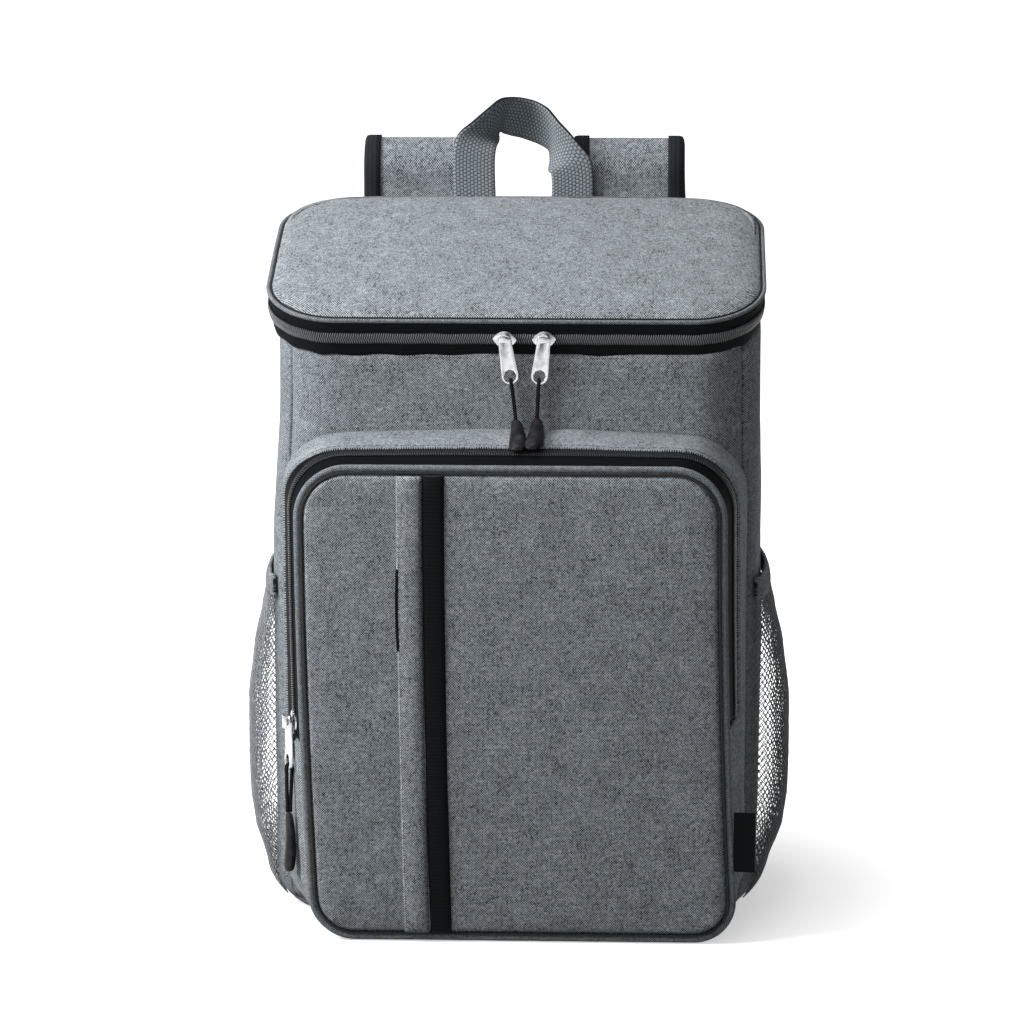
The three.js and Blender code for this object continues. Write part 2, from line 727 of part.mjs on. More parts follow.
function addSidePocket(name, sign) {
  const places = placesBetween(FRONT_SEAM + 0.17, BACK_SEAM, [1, 5, 4, 5, 1]);
  const first = places[0];
  const span = places[places.length - 1] - first;
  const cheek = (place) => Math.max(0, Math.sin(Math.PI * (place - first) / span)) ** 0.8;
  const footRows = footHeights(NET.foot).map((z) => ({
    z,
    swell: NET_FOOT_SWELL * (z - NET.foot) / (BODY.baseRounding - NET.foot),
  }));
  const netRows = footRows.concat(NET_SECTIONS.map(({ height, swell }) => ({
    z: lerp(BODY.baseRounding, NET.hemBottom - CLEARANCE, height),
    swell,
  })));
  const netGrid = (out) => netRows.map(({ z, swell }) => places.map((place) =>
    bodySkin(sign * place, z, NET.seat + NET.bulge * swell * cheek(place) + out)));
  addPiece(`net_pocket_${name}`, wallSolid(netGrid(NET.thickness), netGrid(0)), "net");

  const hemGrid = (out) => [0, 1].map((share) => places.map((place) => {
    const z = NET.hemBottom + share * NET.hemHeight;
    const stand = NET.seat + (NET.hemStand + (1 - share) * NET.hemFlare) * cheek(place);
    return bodySkin(sign * place, z, stand + out);
  }));
  addPiece(`net_hem_${name}`, wallSolid(hemGrid(NET.hemThickness), hemGrid(0)), "clothLight");
}

// A smooth path through origins, with a side direction at each
function pathFrames(origins, sides, steps) {
  const curve = new THREE.CatmullRomCurve3(origins, false, "centripetal");
  const sideCurve = new THREE.CatmullRomCurve3(sides, false, "centripetal");
  return Array.from({ length: steps + 1 }, (_, step) => {
    const share = step / steps;
    const tangent = curve.getTangent(share);
    const side = sideCurve.getPoint(share);
    side.addScaledVector(tangent, -side.dot(tangent)).normalize();
    return { origin: curve.getPoint(share), side, normal: tangent.clone().cross(side) };
  });
}

const bandSection = (width, thickness) => [
  [-width / 2, -thickness / 2],
  [width / 2, -thickness / 2],
  [width / 2, thickness / 2],
  [-width / 2, thickness / 2],
];

// The grab handle's outer edge from its left foot to its right one. Across, back and rise are
// shares of its half span, lean and height, and turn points from the outer to the inner edge.
const HANDLE_STATIONS = [
  { across: -1, back: -0.1, rise: -0.1, turn: [1, 0, 0] },
  { across: -1, back: -0.09, rise: 0, turn: [1, 0, 0] },
  { across: -1, back: 0, rise: 0.15, turn: [1, 0, 0] },
  { across: -1, back: 0, rise: 0.59, turn: [0.99, 0.08, -0.1] },
  { across: -0.93, back: 0, rise: 0.7, turn: [0.89, 0.28, -0.27] },
  { across: -0.73, back: 0, rise: 0.79, turn: [0.59, 0.67, -0.45] },
  { across: -0.51, back: 0.04, rise: 0.89, turn: [0.21, 0.71, -0.68] },
  { across: -0.34, back: 0.15, rise: 0.96, turn: [-0.05, 0.59, -0.81] },
  { across: -0.2, back: 0.41, rise: 0.97, turn: [-0.19, 0.44, -0.88] },
  { across: -0.02, back: 0.59, rise: 0.96, turn: [-0.24, 0.31, -0.92] },
  { across: 0.17, back: 0.67, rise: 0.93, turn: [-0.27, 0.32, -0.91] },
  { across: 0.32, back: 0.56, rise: 0.885, turn: [-0.21, 0.43, -0.88] },
  { across: 0.425, back: 0.33, rise: 0.83, turn: [-0.16, 0.55, -0.82] },
  { across: 0.515, back: 0.15, rise: 0.78, turn: [-0.25, 0.61, -0.75] },
  { across: 0.64, back: 0.04, rise: 0.715, turn: [-0.43, 0.5, -0.72] },
  { across: 0.81, back: 0, rise: 0.61, turn: [-0.73, 0.22, -0.6] },
  { across: 0.96, back: 0, rise: 0.5, turn: [-0.89, 0.03, -0.45] },
  { across: 1, back: 0, rise: 0.15, turn: [-1, 0, -0.04] },
  { across: 1, back: -0.09, rise: 0, turn: [-1, 0, 0] },
  { across: 1, back: -0.1, rise: -0.1, turn: [-1, 0, 0] },
];

const HANDLE_Y = BACK_Y + LID.overhang + CLEARANCE + HANDLE.thickness / 2;

function addHandle() {
  const footZ = bodyTopAt(BACK_Y);
  const outer = new THREE.CatmullRomCurve3(HANDLE_STATIONS.map(({ across, back, rise }) =>
    vector(across * HANDLE.halfSpan, HANDLE_Y + back * HANDLE.lean, footZ + rise * HANDLE.height)),
  false, "centripetal");
  const turns = new THREE.CatmullRomCurve3(
    HANDLE_STATIONS.map(({ turn }) => vector(...turn)), false, "centripetal");
  const steps = 2 * (HANDLE_STATIONS.length - 1);
  const edges = Array.from({ length: steps + 1 }, (_, step) => {
    const origin = outer.getPoint(step / steps);
    return { origin, inner: turns.getPoint(step / steps).setLength(HANDLE.width).add(origin) };
  });
  const columns = edges.map(({ origin, inner }, index) => {
    const before = edges[Math.max(index - 1, 0)];
    const after = edges[Math.min(index + 1, steps)];
    const tangent = after.origin.clone().add(after.inner).sub(before.origin).sub(before.inner);
    const normal = tangent.cross(inner.clone().sub(origin)).setLength(HANDLE.thickness / 2);
    return { origin, inner, normal };
  });
  const face = (sign) => [
    columns.map(({ origin, normal }) => origin.clone().addScaledVector(normal, sign)),
    columns.map(({ inner, normal }) => inner.clone().addScaledVector(normal, sign)),
  ];
  addPiece("grab_handle", wallSolid(face(1), face(-1)), "webbingGrey");
}

// The strap's middle line: rise is a share between the lower end and the crest, out a share of
// the strap's reach behind the body, and spread a share between the top and lower places in X
const STRAP_STATIONS = [
  { rise: 0.7, out: -0.13, spread: 0 },
  { rise: 0.79, out: -0.05, spread: 0 },
  { rise: 0.89, out: 0, spread: 0 },
  { rise: 0.955, out: 0.02, spread: 0 },
  { rise: 1, out: 0.3, spread: 0 },
  { rise: 0.955, out: 0.6, spread: 0 },
  { rise: 0.86, out: 0.74, spread: 0.02 },
  { rise: 0.7, out: 0.9, spread: 0.12 },
  { rise: 0.48, out: 1, spread: 0.4 },
  { rise: 0.24, out: 0.88, spread: 0.78 },
  { rise: 0, out: 0.62, spread: 1 },
];

function strapFrames(sign) {
  const half = STRAP.thickness / 2 + STRAP.bindingThickness + STRAP.bindingGap;
  const innerY = HANDLE_Y + HANDLE.thickness / 2 + 5 * CLEARANCE + half;
  const crestZ = bodyTopAt(BACK_Y) + STRAP.crestRise - half;
  const origins = STRAP_STATIONS.map(({ rise, out, spread }) => vector(
    sign * lerp(STRAP.centreX, STRAP.lowerX, spread),
    innerY + out * STRAP.reach,
    lerp(STRAP.lowerHeight, crestZ, rise)));
  const sides = STRAP_STATIONS.map(() => vector(1, 0, 0));
  return pathFrames(origins, sides, 20);
}

// Half of a fold of tape round the strap's edge, open towards the strap's middle
function bindingSection(edgeSign) {
  const outer = STRAP.width / 2;
  const inner = outer - STRAP.bindingWidth;
  const skin = STRAP.bindingThickness;
  const halfPad = STRAP.thickness / 2 + STRAP.bindingGap;
  return [
    [inner, halfPad],
    [outer - skin, halfPad],
    [outer - skin, -halfPad],
    [inner, -halfPad],
    [inner, -halfPad - skin],
    [outer, -halfPad - skin],
    [outer, halfPad + skin],
    [inner, halfPad + skin],
  ].map(([across, out]) => [edgeSign * across, out]);
}

function padSection() {
  const half = STRAP.width / 2 - STRAP.bindingThickness - STRAP.bindingGap;
  const bound = STRAP.width / 2 - STRAP.bindingWidth;
  const round = STRAP.thickness * 0.28;
  const out = STRAP.thickness / 2;
  return [
    [-half, -out + round],
    [-half + round, -out],
    [-bound, -out],
    [bound, -out],
    [half - round, -out],
    [half, -out + round],
    [half, out - round],
    [half - round, out],
    [bound, out],
    [-bound, out],
    [-half + round, out],
    [-half, out - round],
  ];
}

// A flat frame with two slots, in X and Y round its middle
function buckleGeometry() {
  const halfWidth = BUCKLE.width / 2;
  const halfHeight = BUCKLE.height / 2;
  const outline = new THREE.Shape();
  outline.moveTo(-halfWidth, -halfHeight).lineTo(halfWidth, -halfHeight);
  outline.lineTo(halfWidth, halfHeight).lineTo(-halfWidth, halfHeight);
  const slotHeight = (BUCKLE.height - 3 * BUCKLE.rail) / 2;
  const slotHalf = BUCKLE.slotWidth / 2;
  for (const sign of [-1, 1]) {
    const low = sign * (BUCKLE.rail + slotHeight) / 2 - slotHeight / 2;
    const slot = new THREE.Path();
    slot.moveTo(-slotHalf, low).lineTo(-slotHalf, low + slotHeight);
    slot.lineTo(slotHalf, low + slotHeight).lineTo(slotHalf, low);
    outline.holes.push(slot);
  }
  const buckle = new THREE.ExtrudeGeometry(outline, { depth: BUCKLE.thickness, bevelEnabled: false });
  return buckle.translate(0, 0, -BUCKLE.thickness / 2);
}

function addStrap(name, sign) {
  const frames = strapFrames(sign);
  addPiece(`shoulder_strap_${name}`, sweepSolid(frames, padSection()), "cloth");
  addPiece(`strap_binding_${name}_outer`, sweepSolid(frames, bindingSection(sign)), "binding");
  addPiece(`strap_binding_${name}_inner`, sweepSolid(frames, bindingSection(-sign)), "binding");

  // The buckle hangs from a short folded band below the pad, in line with the lower webbing
  const foot = frames[frames.length - 1].origin;
  const bandHalf = LOWER_WEBBING.thickness / 2;
  const anchorY = BACK_Y + 2 * CLEARANCE + bandHalf;
  const anchor = vector(sign * LOWER_WEBBING.anchorX, anchorY, LOWER_WEBBING.anchorHeight);
  const down = anchor.clone().sub(foot).normalize();
  const side = vector(1, 0, 0).addScaledVector(down, -down.x).normalize();
  const outwards = down.clone().cross(side);
  const offset = (from, along, out) =>
    from.clone().addScaledVector(down, along).addScaledVector(outwards, out);
  const middle = offset(foot, LOWER_WEBBING.hang + BUCKLE.height / 2, 0);
  const buckle = buckleGeometry();
  buckle.applyMatrix4(new THREE.Matrix4().makeBasis(side, down.clone().negate(), outwards));
  buckle.translate(middle.x, middle.y, middle.z);
  addPiece(`strap_buckle_${name}`, buckle, "plastic");

  // Webbing turned round the buckle's top rail, and the adjusting band round its low rail
  const railOffset = BUCKLE.height / 2 - BUCKLE.rail / 2;
  const turnRadius = Math.hypot(BUCKLE.rail, BUCKLE.thickness) / 2 + bandHalf + CLEARANCE;
  const turned = (along, into) => [0, 0.25, 0.5, 0.75, 1].map((share) => offset(middle,
    along + into * Math.sin(Math.PI * share) * turnRadius, -Math.cos(Math.PI * share) * turnRadius));
  const section = bandSection(LOWER_WEBBING.width, LOWER_WEBBING.thickness);
  const band = (points, steps) => sweepSolid(pathFrames(points, points.map(() => side), steps), section);
  const padGap = BUCKLE.thickness / 2 + 2 * CLEARANCE;
  addPiece(`buckle_loop_${name}`, band([
    offset(foot, padGap, -turnRadius),
    ...turned(-railOffset, 1),
    offset(foot, padGap, turnRadius),
  ], 14), "webbingBlack");
  addPiece(`lower_webbing_${name}`, band([
    anchor,
    ...turned(railOffset, -1),
    offset(middle, railOffset + LOWER_WEBBING.tail, turnRadius + 2 * bandHalf),
  ], 20), "webbingBlack");
}

// An oval with pointed ends, for a zip slider's body
function sliderShape() {
  const halfLength = PULL.sliderLength / 2;
  const halfWidth = PULL.sliderWidth / 2;
  const shape = new THREE.Shape();
  shape.moveTo(-halfLength, 0);
  shape.quadraticCurveTo(-halfLength * 0.6, halfWidth, 0, halfWidth);
  shape.quadraticCurveTo(halfLength * 0.6, halfWidth, halfLength, 0);
  shape.quadraticCurveTo(halfLength * 0.6, -halfWidth, 0, -halfWidth);
  shape.quadraticCurveTo(-halfLength * 0.6, -halfWidth, -halfLength, 0);
  return shape;
}

// A tab that widens towards its foot, with an eye at its top and a cord hole at its foot
function tabShape() {
  const topHalf = PULL.tabTopWidth / 2;
  const footHalf = PULL.tabBottomWidth / 2;
  const footCentre = -(PULL.tabLength - topHalf - footHalf);
  const shape = new THREE.Shape();
  shape.moveTo(topHalf, 0);
  shape.absarc(0, 0, topHalf, 0, Math.PI, false);
  shape.lineTo(-footHalf, footCentre);
  shape.absarc(0, footCentre, footHalf, Math.PI, 2 * Math.PI, false);
  const eye = new THREE.Path();
  eye.absarc(0, 0, PULL.postRadius + CLEARANCE + 0.2, 0, 2 * Math.PI, true);
  const hole = new THREE.Path();
  hole.absarc(0, footCentre, PULL.holeRadius, 0, 2 * Math.PI, true);
  shape.holes.push(eye, hole);
  return { shape, footCentre };
}

const GRIP_SECTIONS = [
  { along: 0, width: 0.55, thickness: 0.6 },
  { along: 0.08, width: 0.75, thickness: 0.85 },
  { along: 0.45, width: 0.85, thickness: 0.9 },
  { along: 0.8, width: 1, thickness: 1 },
  { along: 0.95, width: 0.8, thickness: 0.8 },
  { along: 1, width: 0.4, thickness: 0.4 },
];

// One slider with its tab, cord and grip, built facing -Y round the slider's post and then
// turned by yaw and set at its place. Out counts away from the cloth behind it.
function addPull(names, place, hang, yaw) {
  const flat = (shape, depth, curveSegments) => {
    const geometry = new THREE.ExtrudeGeometry(shape, { depth, bevelEnabled: false, curveSegments });
    return geometry.rotateX(Math.PI / 2);
  };
  const set = (geometry, turn = 0) =>
    geometry.rotateY(turn).rotateZ(yaw).translate(place.x, place.y, place.z);

  const plate = flat(sliderShape(), PULL.sliderThickness, 5);
  const post = new THREE.CylinderGeometry(PULL.postRadius, PULL.postRadius, PULL.postHeight + 1, 10);
  post.translate(0, -PULL.sliderThickness - (PULL.postHeight - 1) / 2, 0);
  const head = new THREE.BoxGeometry(PULL.sliderLength * 0.5, PULL.headThickness, PULL.postRadius * 2.2);
  head.translate(0, -PULL.sliderThickness - PULL.postHeight - PULL.headThickness / 2 + 0.2, 0);
  const slider = toManifold(plate).add(toManifold(post)).add(toManifold(head));
  addPiece(names.slider, set(fromManifold(slider), hang.turn), "metal");

  const { shape, footCentre } = tabShape();
  const tab = flat(shape, PULL.tabThickness, 4);
  const tabY = -PULL.sliderThickness - 2 * CLEARANCE;
  tab.translate(0, tabY, 0);
  addPiece(names.tab, set(tab, hang.swing), "metal");

  // The cord passes through the tab's hole, and both its ends run down into the grip
  const down = vector(-Math.sin(hang.swing), 0, -Math.cos(hang.swing));
  const hole = down.clone().multiplyScalar(-footCentre).setY(tabY - PULL.tabThickness / 2);
  const fromHole = (along, out) => hole.clone().addScaledVector(down, along).add(vector(0, -out, 0));
  const reach = PULL.tabThickness / 2 + PULL.cordRadius + CLEARANCE;
  const holeFoot = PULL.holeRadius - PULL.cordRadius - CLEARANCE;
  const rim = PULL.tabBottomWidth / 2;
  const gripTop = hole.clone().add(vector(hang.topSide, -hang.topOut, -hang.topDrop));
  const gripFoot = hole.clone().add(vector(hang.footSide, -hang.footOut, -hang.footDrop));
  const gripAxis = gripFoot.clone().sub(gripTop);
  const gripLength = gripAxis.length();
  gripAxis.normalize();
  const gripSide = vector(1, 0, 0).addScaledVector(gripAxis, -gripAxis.x).normalize();
  const gripOut = gripAxis.clone().cross(gripSide);
  const meet = PULL.cordRadius + CLEARANCE / 2;
  const cordEnd = (out, back) =>
    gripTop.clone().addScaledVector(gripAxis, -back).addScaledVector(gripOut, out);
  const route = [
    cordEnd(meet, CLEARANCE),
    cordEnd(meet, PULL.cordRun),
    fromHole(rim + PULL.cordRun / 2, reach * 0.9),
    fromHole(rim - 1, reach),
    fromHole(holeFoot, reach * 0.7),
    fromHole(holeFoot - 0.6, 0),
    fromHole(holeFoot, -reach * 0.7),
    fromHole(rim - 1, -reach),
    fromHole(rim + PULL.cordRun / 2, -reach * 0.9),
    cordEnd(-meet, PULL.cordRun),
    cordEnd(-meet, CLEARANCE),
  ];
  const across = vector(Math.cos(hang.swing), 0, -Math.sin(hang.swing));
  const cord = sweepSolid(pathFrames(route, route.map(() => across), 20), roundSection(PULL.cordRadius, 5));
  addPiece(names.cord, set(cord), "plastic");

  const grip = stackSolid(GRIP_SECTIONS.map(({ along, width, thickness }) =>
    roundSection(1, 8).map(([across, out]) => gripTop.clone()
      .addScaledVector(gripAxis, along * gripLength)
      .addScaledVector(gripSide, across * width * PULL.gripWidth / 2)
      .addScaledVector(gripOut, out * thickness * PULL.gripThickness / 2))));
  addPiece(names.grip, set(grip), "plastic");
}

const pullNames = (stem, end) => ({
  slider: `${stem}_slider${end}`,
  tab: `${stem}_pull${end}`,
  cord: `${stem}_cord${end}`,
  grip: `${stem}_grip${end}`,
});

function addPulls() {
  const coilZ = BODY.frontHeight + LID.bandHeight * LID.coilHeightShare;
  const coilY = FRONT_Y + LID.tapeInset - LID.coilThickness - 2 * CLEARANCE;
  for (const hang of LID_PULLS) {
    addPull(pullNames("lid", hang.end), vector(hang.across, coilY, coilZ), hang, 0);
  }

  // The pocket's slider stands at the left end of its zip, square to the gusset's slanted side
  const sliderPlace = -placeAtHeight(POCKET.leftZipEnd + PULL.sliderLength * 0.6);
  const coilMiddle = POCKET_TAPE_SHARE + POCKET_COIL_START + POCKET.coilWidth / POCKET.depth / 2;
  const spot = gussetPoint(sliderPlace, coilMiddle, POCKET.coilThickness + 3 * CLEARANCE);
  const yaw = -Math.PI / 2 + Math.atan2(POCKET.baseHalfWidth - POCKET.halfWidth, POCKET.depth);
  addPull(pullNames("pocket", ""), spot, POCKET_PULL, yaw);
}

addBody();
addLid();
addPocket();
addPocketTrim();
addSidePocket("left", -1);
addSidePocket("right", 1);
addHandle();
addStrap("left", -1);
addStrap("right", 1);
addPulls();

// The frame's origin lies under the middle of the whole pack, on the surface it stands on
const extent = new THREE.Box3().setFromObject(backpack);
const centre = extent.getCenter(new THREE.Vector3());
backpack.position.set(-centre.x, -centre.y, -extent.min.z);
backpack.updateMatrixWorld(true);

export default backpack;
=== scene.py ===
"""Looks of the cooler backpack: heather cloth, net, webbing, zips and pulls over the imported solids."""
import logging
import math
import random
from dataclasses import dataclass
from enum import Enum
from typing import Callable, Optional, Sequence, Union

import bpy
from mathutils import Matrix, Vector, noise


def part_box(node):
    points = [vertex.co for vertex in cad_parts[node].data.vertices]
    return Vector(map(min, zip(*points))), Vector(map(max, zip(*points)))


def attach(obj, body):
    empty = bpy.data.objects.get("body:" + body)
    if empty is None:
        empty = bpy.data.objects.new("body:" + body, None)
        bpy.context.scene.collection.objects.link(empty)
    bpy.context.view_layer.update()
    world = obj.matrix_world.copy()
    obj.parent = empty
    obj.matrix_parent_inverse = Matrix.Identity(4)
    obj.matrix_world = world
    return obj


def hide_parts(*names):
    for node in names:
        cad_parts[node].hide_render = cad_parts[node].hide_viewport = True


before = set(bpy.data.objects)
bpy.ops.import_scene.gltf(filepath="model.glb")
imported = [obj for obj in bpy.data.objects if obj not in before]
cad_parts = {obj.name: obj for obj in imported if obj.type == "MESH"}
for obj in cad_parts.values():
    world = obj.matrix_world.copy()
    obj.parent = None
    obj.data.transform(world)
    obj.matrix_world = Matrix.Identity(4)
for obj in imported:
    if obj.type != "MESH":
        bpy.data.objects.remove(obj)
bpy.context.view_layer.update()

LOG = logging.getLogger("cooler_backpack")
MM = 0.001
ROOT = "root"
WEAVE_UV = "weave"
Grid = list[list[Vector]]
Colour = tuple[float, float, float]
Dents = tuple[tuple[float, float, float], ...]


def lerp(low: float, high: float, share: float) -> float:
    """Value at a share of the way from low to high."""
    return low + (high - low) * share


def clamp(value: float, low: float = 0.0, high: float = 1.0) -> float:
    """Value held between low and high."""
    return max(low, min(high, value))


def bump(distance: float, reach: float) -> float:
    """Soft bell of height 1 that dies away over reach."""
    return math.exp(-((distance / reach) ** 2))


def ease(share: float) -> float:
    """Share from 0 to 1 with a soft start and end."""
    return share * share * (3 - 2 * share)


def ripple(spot: Vector, size: float, seed: float) -> float:
    """Smooth noise from about -1 to 1 at a spot, with folds of the given size."""
    return noise.noise(Vector((spot.x / size + seed, spot.y / size - seed, spot.z / size + 0.5 * seed)))


def dented(spot: Vector, dents: Dents, seed: float = 0.0) -> float:
    """Sum of ripples at a spot, each given by its depth, the size of its folds and its own seed."""
    return sum(depth * ripple(spot, size, seed + own) for depth, size, own in dents)


@dataclass(frozen=True)
class Outline:
    """A rounded rectangle, in millimetres, read by one number that runs round it.

    0 is the middle of the near side, 1 its end, 2 the end of the corner, 3 the end of the long
    side, 4 the end of the far corner and 5 the middle of the far side; then it runs back mirrored.
    """

    half_width: float
    near: float
    far: float
    near_radius: float
    far_radius: float

    def spot(self, place: float, inset: float = 0.0) -> tuple[float, float, float, float]:
        """Point and outward direction at a place.

        Args:
            place: number along the outline, negative on the mirrored side.
            inset: distance moved inwards.

        Returns:
            Two coordinates of the point and two of the outward direction.
        """
        if place < 0 or place > 5:
            turned = -place if place < 0 else 10 - place
            x, y, nx, ny = self.spot(turned, inset)
            return -x, y, -nx, ny
        along = math.copysign(1, self.far - self.near)
        segment = min(int(place), 4)
        share = place - segment
        if segment == 0:
            return share * (self.half_width - self.near_radius), self.near + along * inset, 0.0, -along
        if segment == 2:
            y = lerp(self.near + along * self.near_radius, self.far - along * self.far_radius, share)
            return self.half_width - inset, y, 1.0, 0.0
        if segment == 4:
            return (1 - share) * (self.half_width - self.far_radius), self.far - along * inset, 0.0, along
        radius = self.near_radius if segment == 1 else self.far_radius
        turn = (share - (1 if segment == 1 else 0)) * math.pi / 2
        centre_y = self.near + along * radius if segment == 1 else self.far - along * radius
        reach = radius - inset
        return (self.half_width - radius + reach * math.cos(turn), centre_y + along * reach * math.sin(turn),
                math.cos(turn), along * math.sin(turn))

    def places(self, start: float, end: float, pitch: float) -> list[float]:
        """Places from start to end, about pitch apart in millimetres."""
        lengths = [self.half_width - self.near_radius, self.near_radius * math.pi / 2,
                   abs(self.far - self.near) - self.near_radius - self.far_radius,
                   self.far_radius * math.pi / 2, self.half_width - self.far_radius]
        places = [start]
        for whole in range(math.floor(start), math.ceil(end)):
            stretch = whole % 10
            steps = max(2, math.ceil(lengths[stretch if stretch < 5 else 9 - stretch] / pitch))
            for step in range(1, steps + 1):
                place = whole + step / steps
                if start + 0.2 / steps < place < end - 0.2 / steps:
                    places.append(place)
        places.append(end)
        return places


@dataclass(frozen=True)
class BodyForm:
    """The pack's padded box and its sloping rim, in millimetres, as the solids have them."""

    half_width: float = 139
    depth: float = 152
    front_height: float = 326
    back_rise: float = 56
    front_radius: float = 40
    back_radius: float = 36
    foot: float = 22
    crown: float = 2.4
    band: float = 15.5
    base: float = 6.3
    front_seam: float = 1 + 50 / 90
    back_seam: float = 3 + 45 / 90
    corner_reach: float = 0.97

    @property
    def plan(self) -> Outline:
        """Outline of the walls seen from above."""
        return Outline(self.half_width, -self.depth / 2, self.depth / 2, self.front_radius, self.back_radius)

    def foot_inset(self, z: float) -> float:
        """How far the rounded foot draws in at a height."""
        below = clamp((self.foot - z) / self.foot)
        return self.foot * (1 - math.sqrt(1 - below * below))

    def crown_at(self, place: float, z: float) -> float:
        """How far the padded walls swell at a place and height."""
        turned = 10 - abs(place) if abs(place) > 5 else abs(place)
        segment = min(int(turned), 4)
        share = turned - segment
        rise = self.crown * math.sin(math.pi * clamp(z / self.front_height))
        swells = {0: 1 - share ** 2, 2: 1 - (2 * share - 1) ** 2, 4: 1 - (1 - share) ** 2}
        return rise * swells.get(segment, 0.0)

    def skin(self, place: float, z: float, stand: float = 0.0) -> Vector:
        """Point on the outer cloth, moved outwards by stand."""
        x, y, _, _ = self.plan.spot(place, self.foot_inset(z) - self.crown_at(place, z) - stand)
        return Vector((x, y, z))

    def top_at(self, y: float) -> float:
        """Height of the walls' sloping upper edge."""
        return self.front_height + self.back_rise / self.depth * (y + self.depth / 2)

    def front_y(self, x: float, z: float) -> float:
        """Front cloth of the body above a point of X and Z."""
        inset = self.foot_inset(z)
        flat = self.half_width - self.front_radius
        beyond = abs(x) - flat
        if beyond <= 0:
            return -self.depth / 2 + inset - self.crown_at(abs(x) / flat, z)
        radius = self.front_radius - inset
        reach = min(beyond, radius * self.corner_reach)
        return -self.depth / 2 + self.front_radius - math.sqrt(radius * radius - reach * reach)


@dataclass(frozen=True)
class PocketForm:
    """The front pocket in millimetres, as the solids have it except for the slack tape's share."""

    body: BodyForm
    half_width: float = 120
    height: float = 270.5
    depth: float = 48
    top_radius: float = 30
    bottom_radius: float = 25
    base_half_width: float = 132
    base_height: float = 285
    base_lift: float = 7.5
    arch: float = 6
    lean: float = 8
    bulge: float = 2.2
    piping: float = 2
    crown: float = 4
    roll_reach: float = 13
    roll_share: float = 0.62
    dome_reach: float = 100
    base_top_radius: float = 32
    base_bottom_radius: float = 24
    seat: float = 0.9
    gap: float = 0.3
    tape_share: float = 1 - 19 / 48
    slack_tape_share: float = 0.36
    left_zip_end: float = 111
    right_zip_end: float = 123

    @property
    def face_y(self) -> float:
        """Plane of the face's border."""
        return -self.body.depth / 2 - self.depth

    @property
    def outline(self) -> Outline:
        """Outline of the padded face in X and Z."""
        return Outline(self.half_width, self.height, 0, self.top_radius, self.bottom_radius)

    @property
    def base_outline(self) -> Outline:
        """Outline where the gusset is sewn to the body, in X and Z."""
        return Outline(self.base_half_width, self.base_height - self.arch, self.base_lift,
                       self.base_top_radius, self.base_bottom_radius)

    def lean_at(self, z: float) -> float:
        """Sideways shift of the face at a height."""
        return self.lean * (1 - clamp(z / self.height)) ** 2

    def face_spot(self, place: float, inset: float) -> Vector:
        """Point on the face's border plane, inside its outline by inset."""
        x, z, _, _ = self.outline.spot(place, inset)
        return Vector((x + self.lean_at(z), self.face_y, z))

    def gusset(self, place: float, share: float, stand: float = 0.0) -> Vector:
        """Point of the gusset: share 0 on the body, share 1 behind the front piping."""
        x, z, nx, nz = self.base_outline.spot(place, -stand)
        if abs(place) < 2:
            z += self.arch * max(0.0, 1 - (x / self.base_half_width) ** 2)
        y = self.body.front_y(x, z) - self.seat
        front = self.face_spot(place, 1 - stand)
        front_y = self.face_y + 2 * self.piping + self.gap
        swell = self.bulge * math.sin(math.pi * share) * (1 if front.z > self.bottom_radius else 0)
        return Vector((lerp(x, front.x, share) + nx * swell, lerp(y, front_y, share),
                       lerp(z, front.z, share) + nz * swell))

    def tape_start(self, place: float) -> float:
        """Share of the gusset at which the zip tape starts, wider on the slack left side."""
        turned = place - 10 if place > 5 else place
        return lerp(self.tape_share, self.slack_tape_share, ease(clamp(-turned - 1)))

    def place_at(self, z: float) -> float:
        """Place on the outline where its long side passes a height."""
        top = self.height - self.top_radius
        return 2 + (top - z) / (top - self.bottom_radius)

    def face_out(self, x: float, z: float) -> float:
        """How far the padded face stands out over its border plane at X and Z."""
        edge = 2 * self.piping + self.gap
        border = min(self.half_width - edge - abs(x - self.lean_at(z)), z - edge, self.height - edge - z)
        if border <= 0:
            return 0.0
        roll = math.sqrt(1 - (1 - min(1.0, border / self.roll_reach)) ** 2)
        dome = math.sin(math.pi / 2 * clamp(border / self.dome_reach))
        return self.crown * lerp(dome, roll, self.roll_share)


BODY = BodyForm()
POCKET = PocketForm(BODY)
LID_OVERHANG = 3
SHIFT = Vector((0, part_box("lid_panel")[0].y / MM + BODY.depth / 2 + LID_OVERHANG, 0))
FORWARD = Vector((0, -1, 0))
FINE_PITCH = 2.5
BACK_GAP = 3.3
BEYOND = 99
TOOTH_LENGTH = 3.3
TOOTH_RADIUS = 0.44
TOOTH_PITCH = 1.3
TOOTH_START = 0.7
TOOTH_SIDE = 1.45
STITCH_LENGTH = 2.6
STITCH_GAP = 0.9
THREAD_LENGTH = 2.2
THREAD_SHIFT = 9.0
TONE_WEIGHT = 0.8
OVER_WEIGHT = 0.85
SLUB_SCALE = 800.0
SLUB_WEIGHT = 0.35
CLOUD_SCALE = 60.0
CLOUD_WEIGHT = 0.5
FRAY_SCALE = 900.0


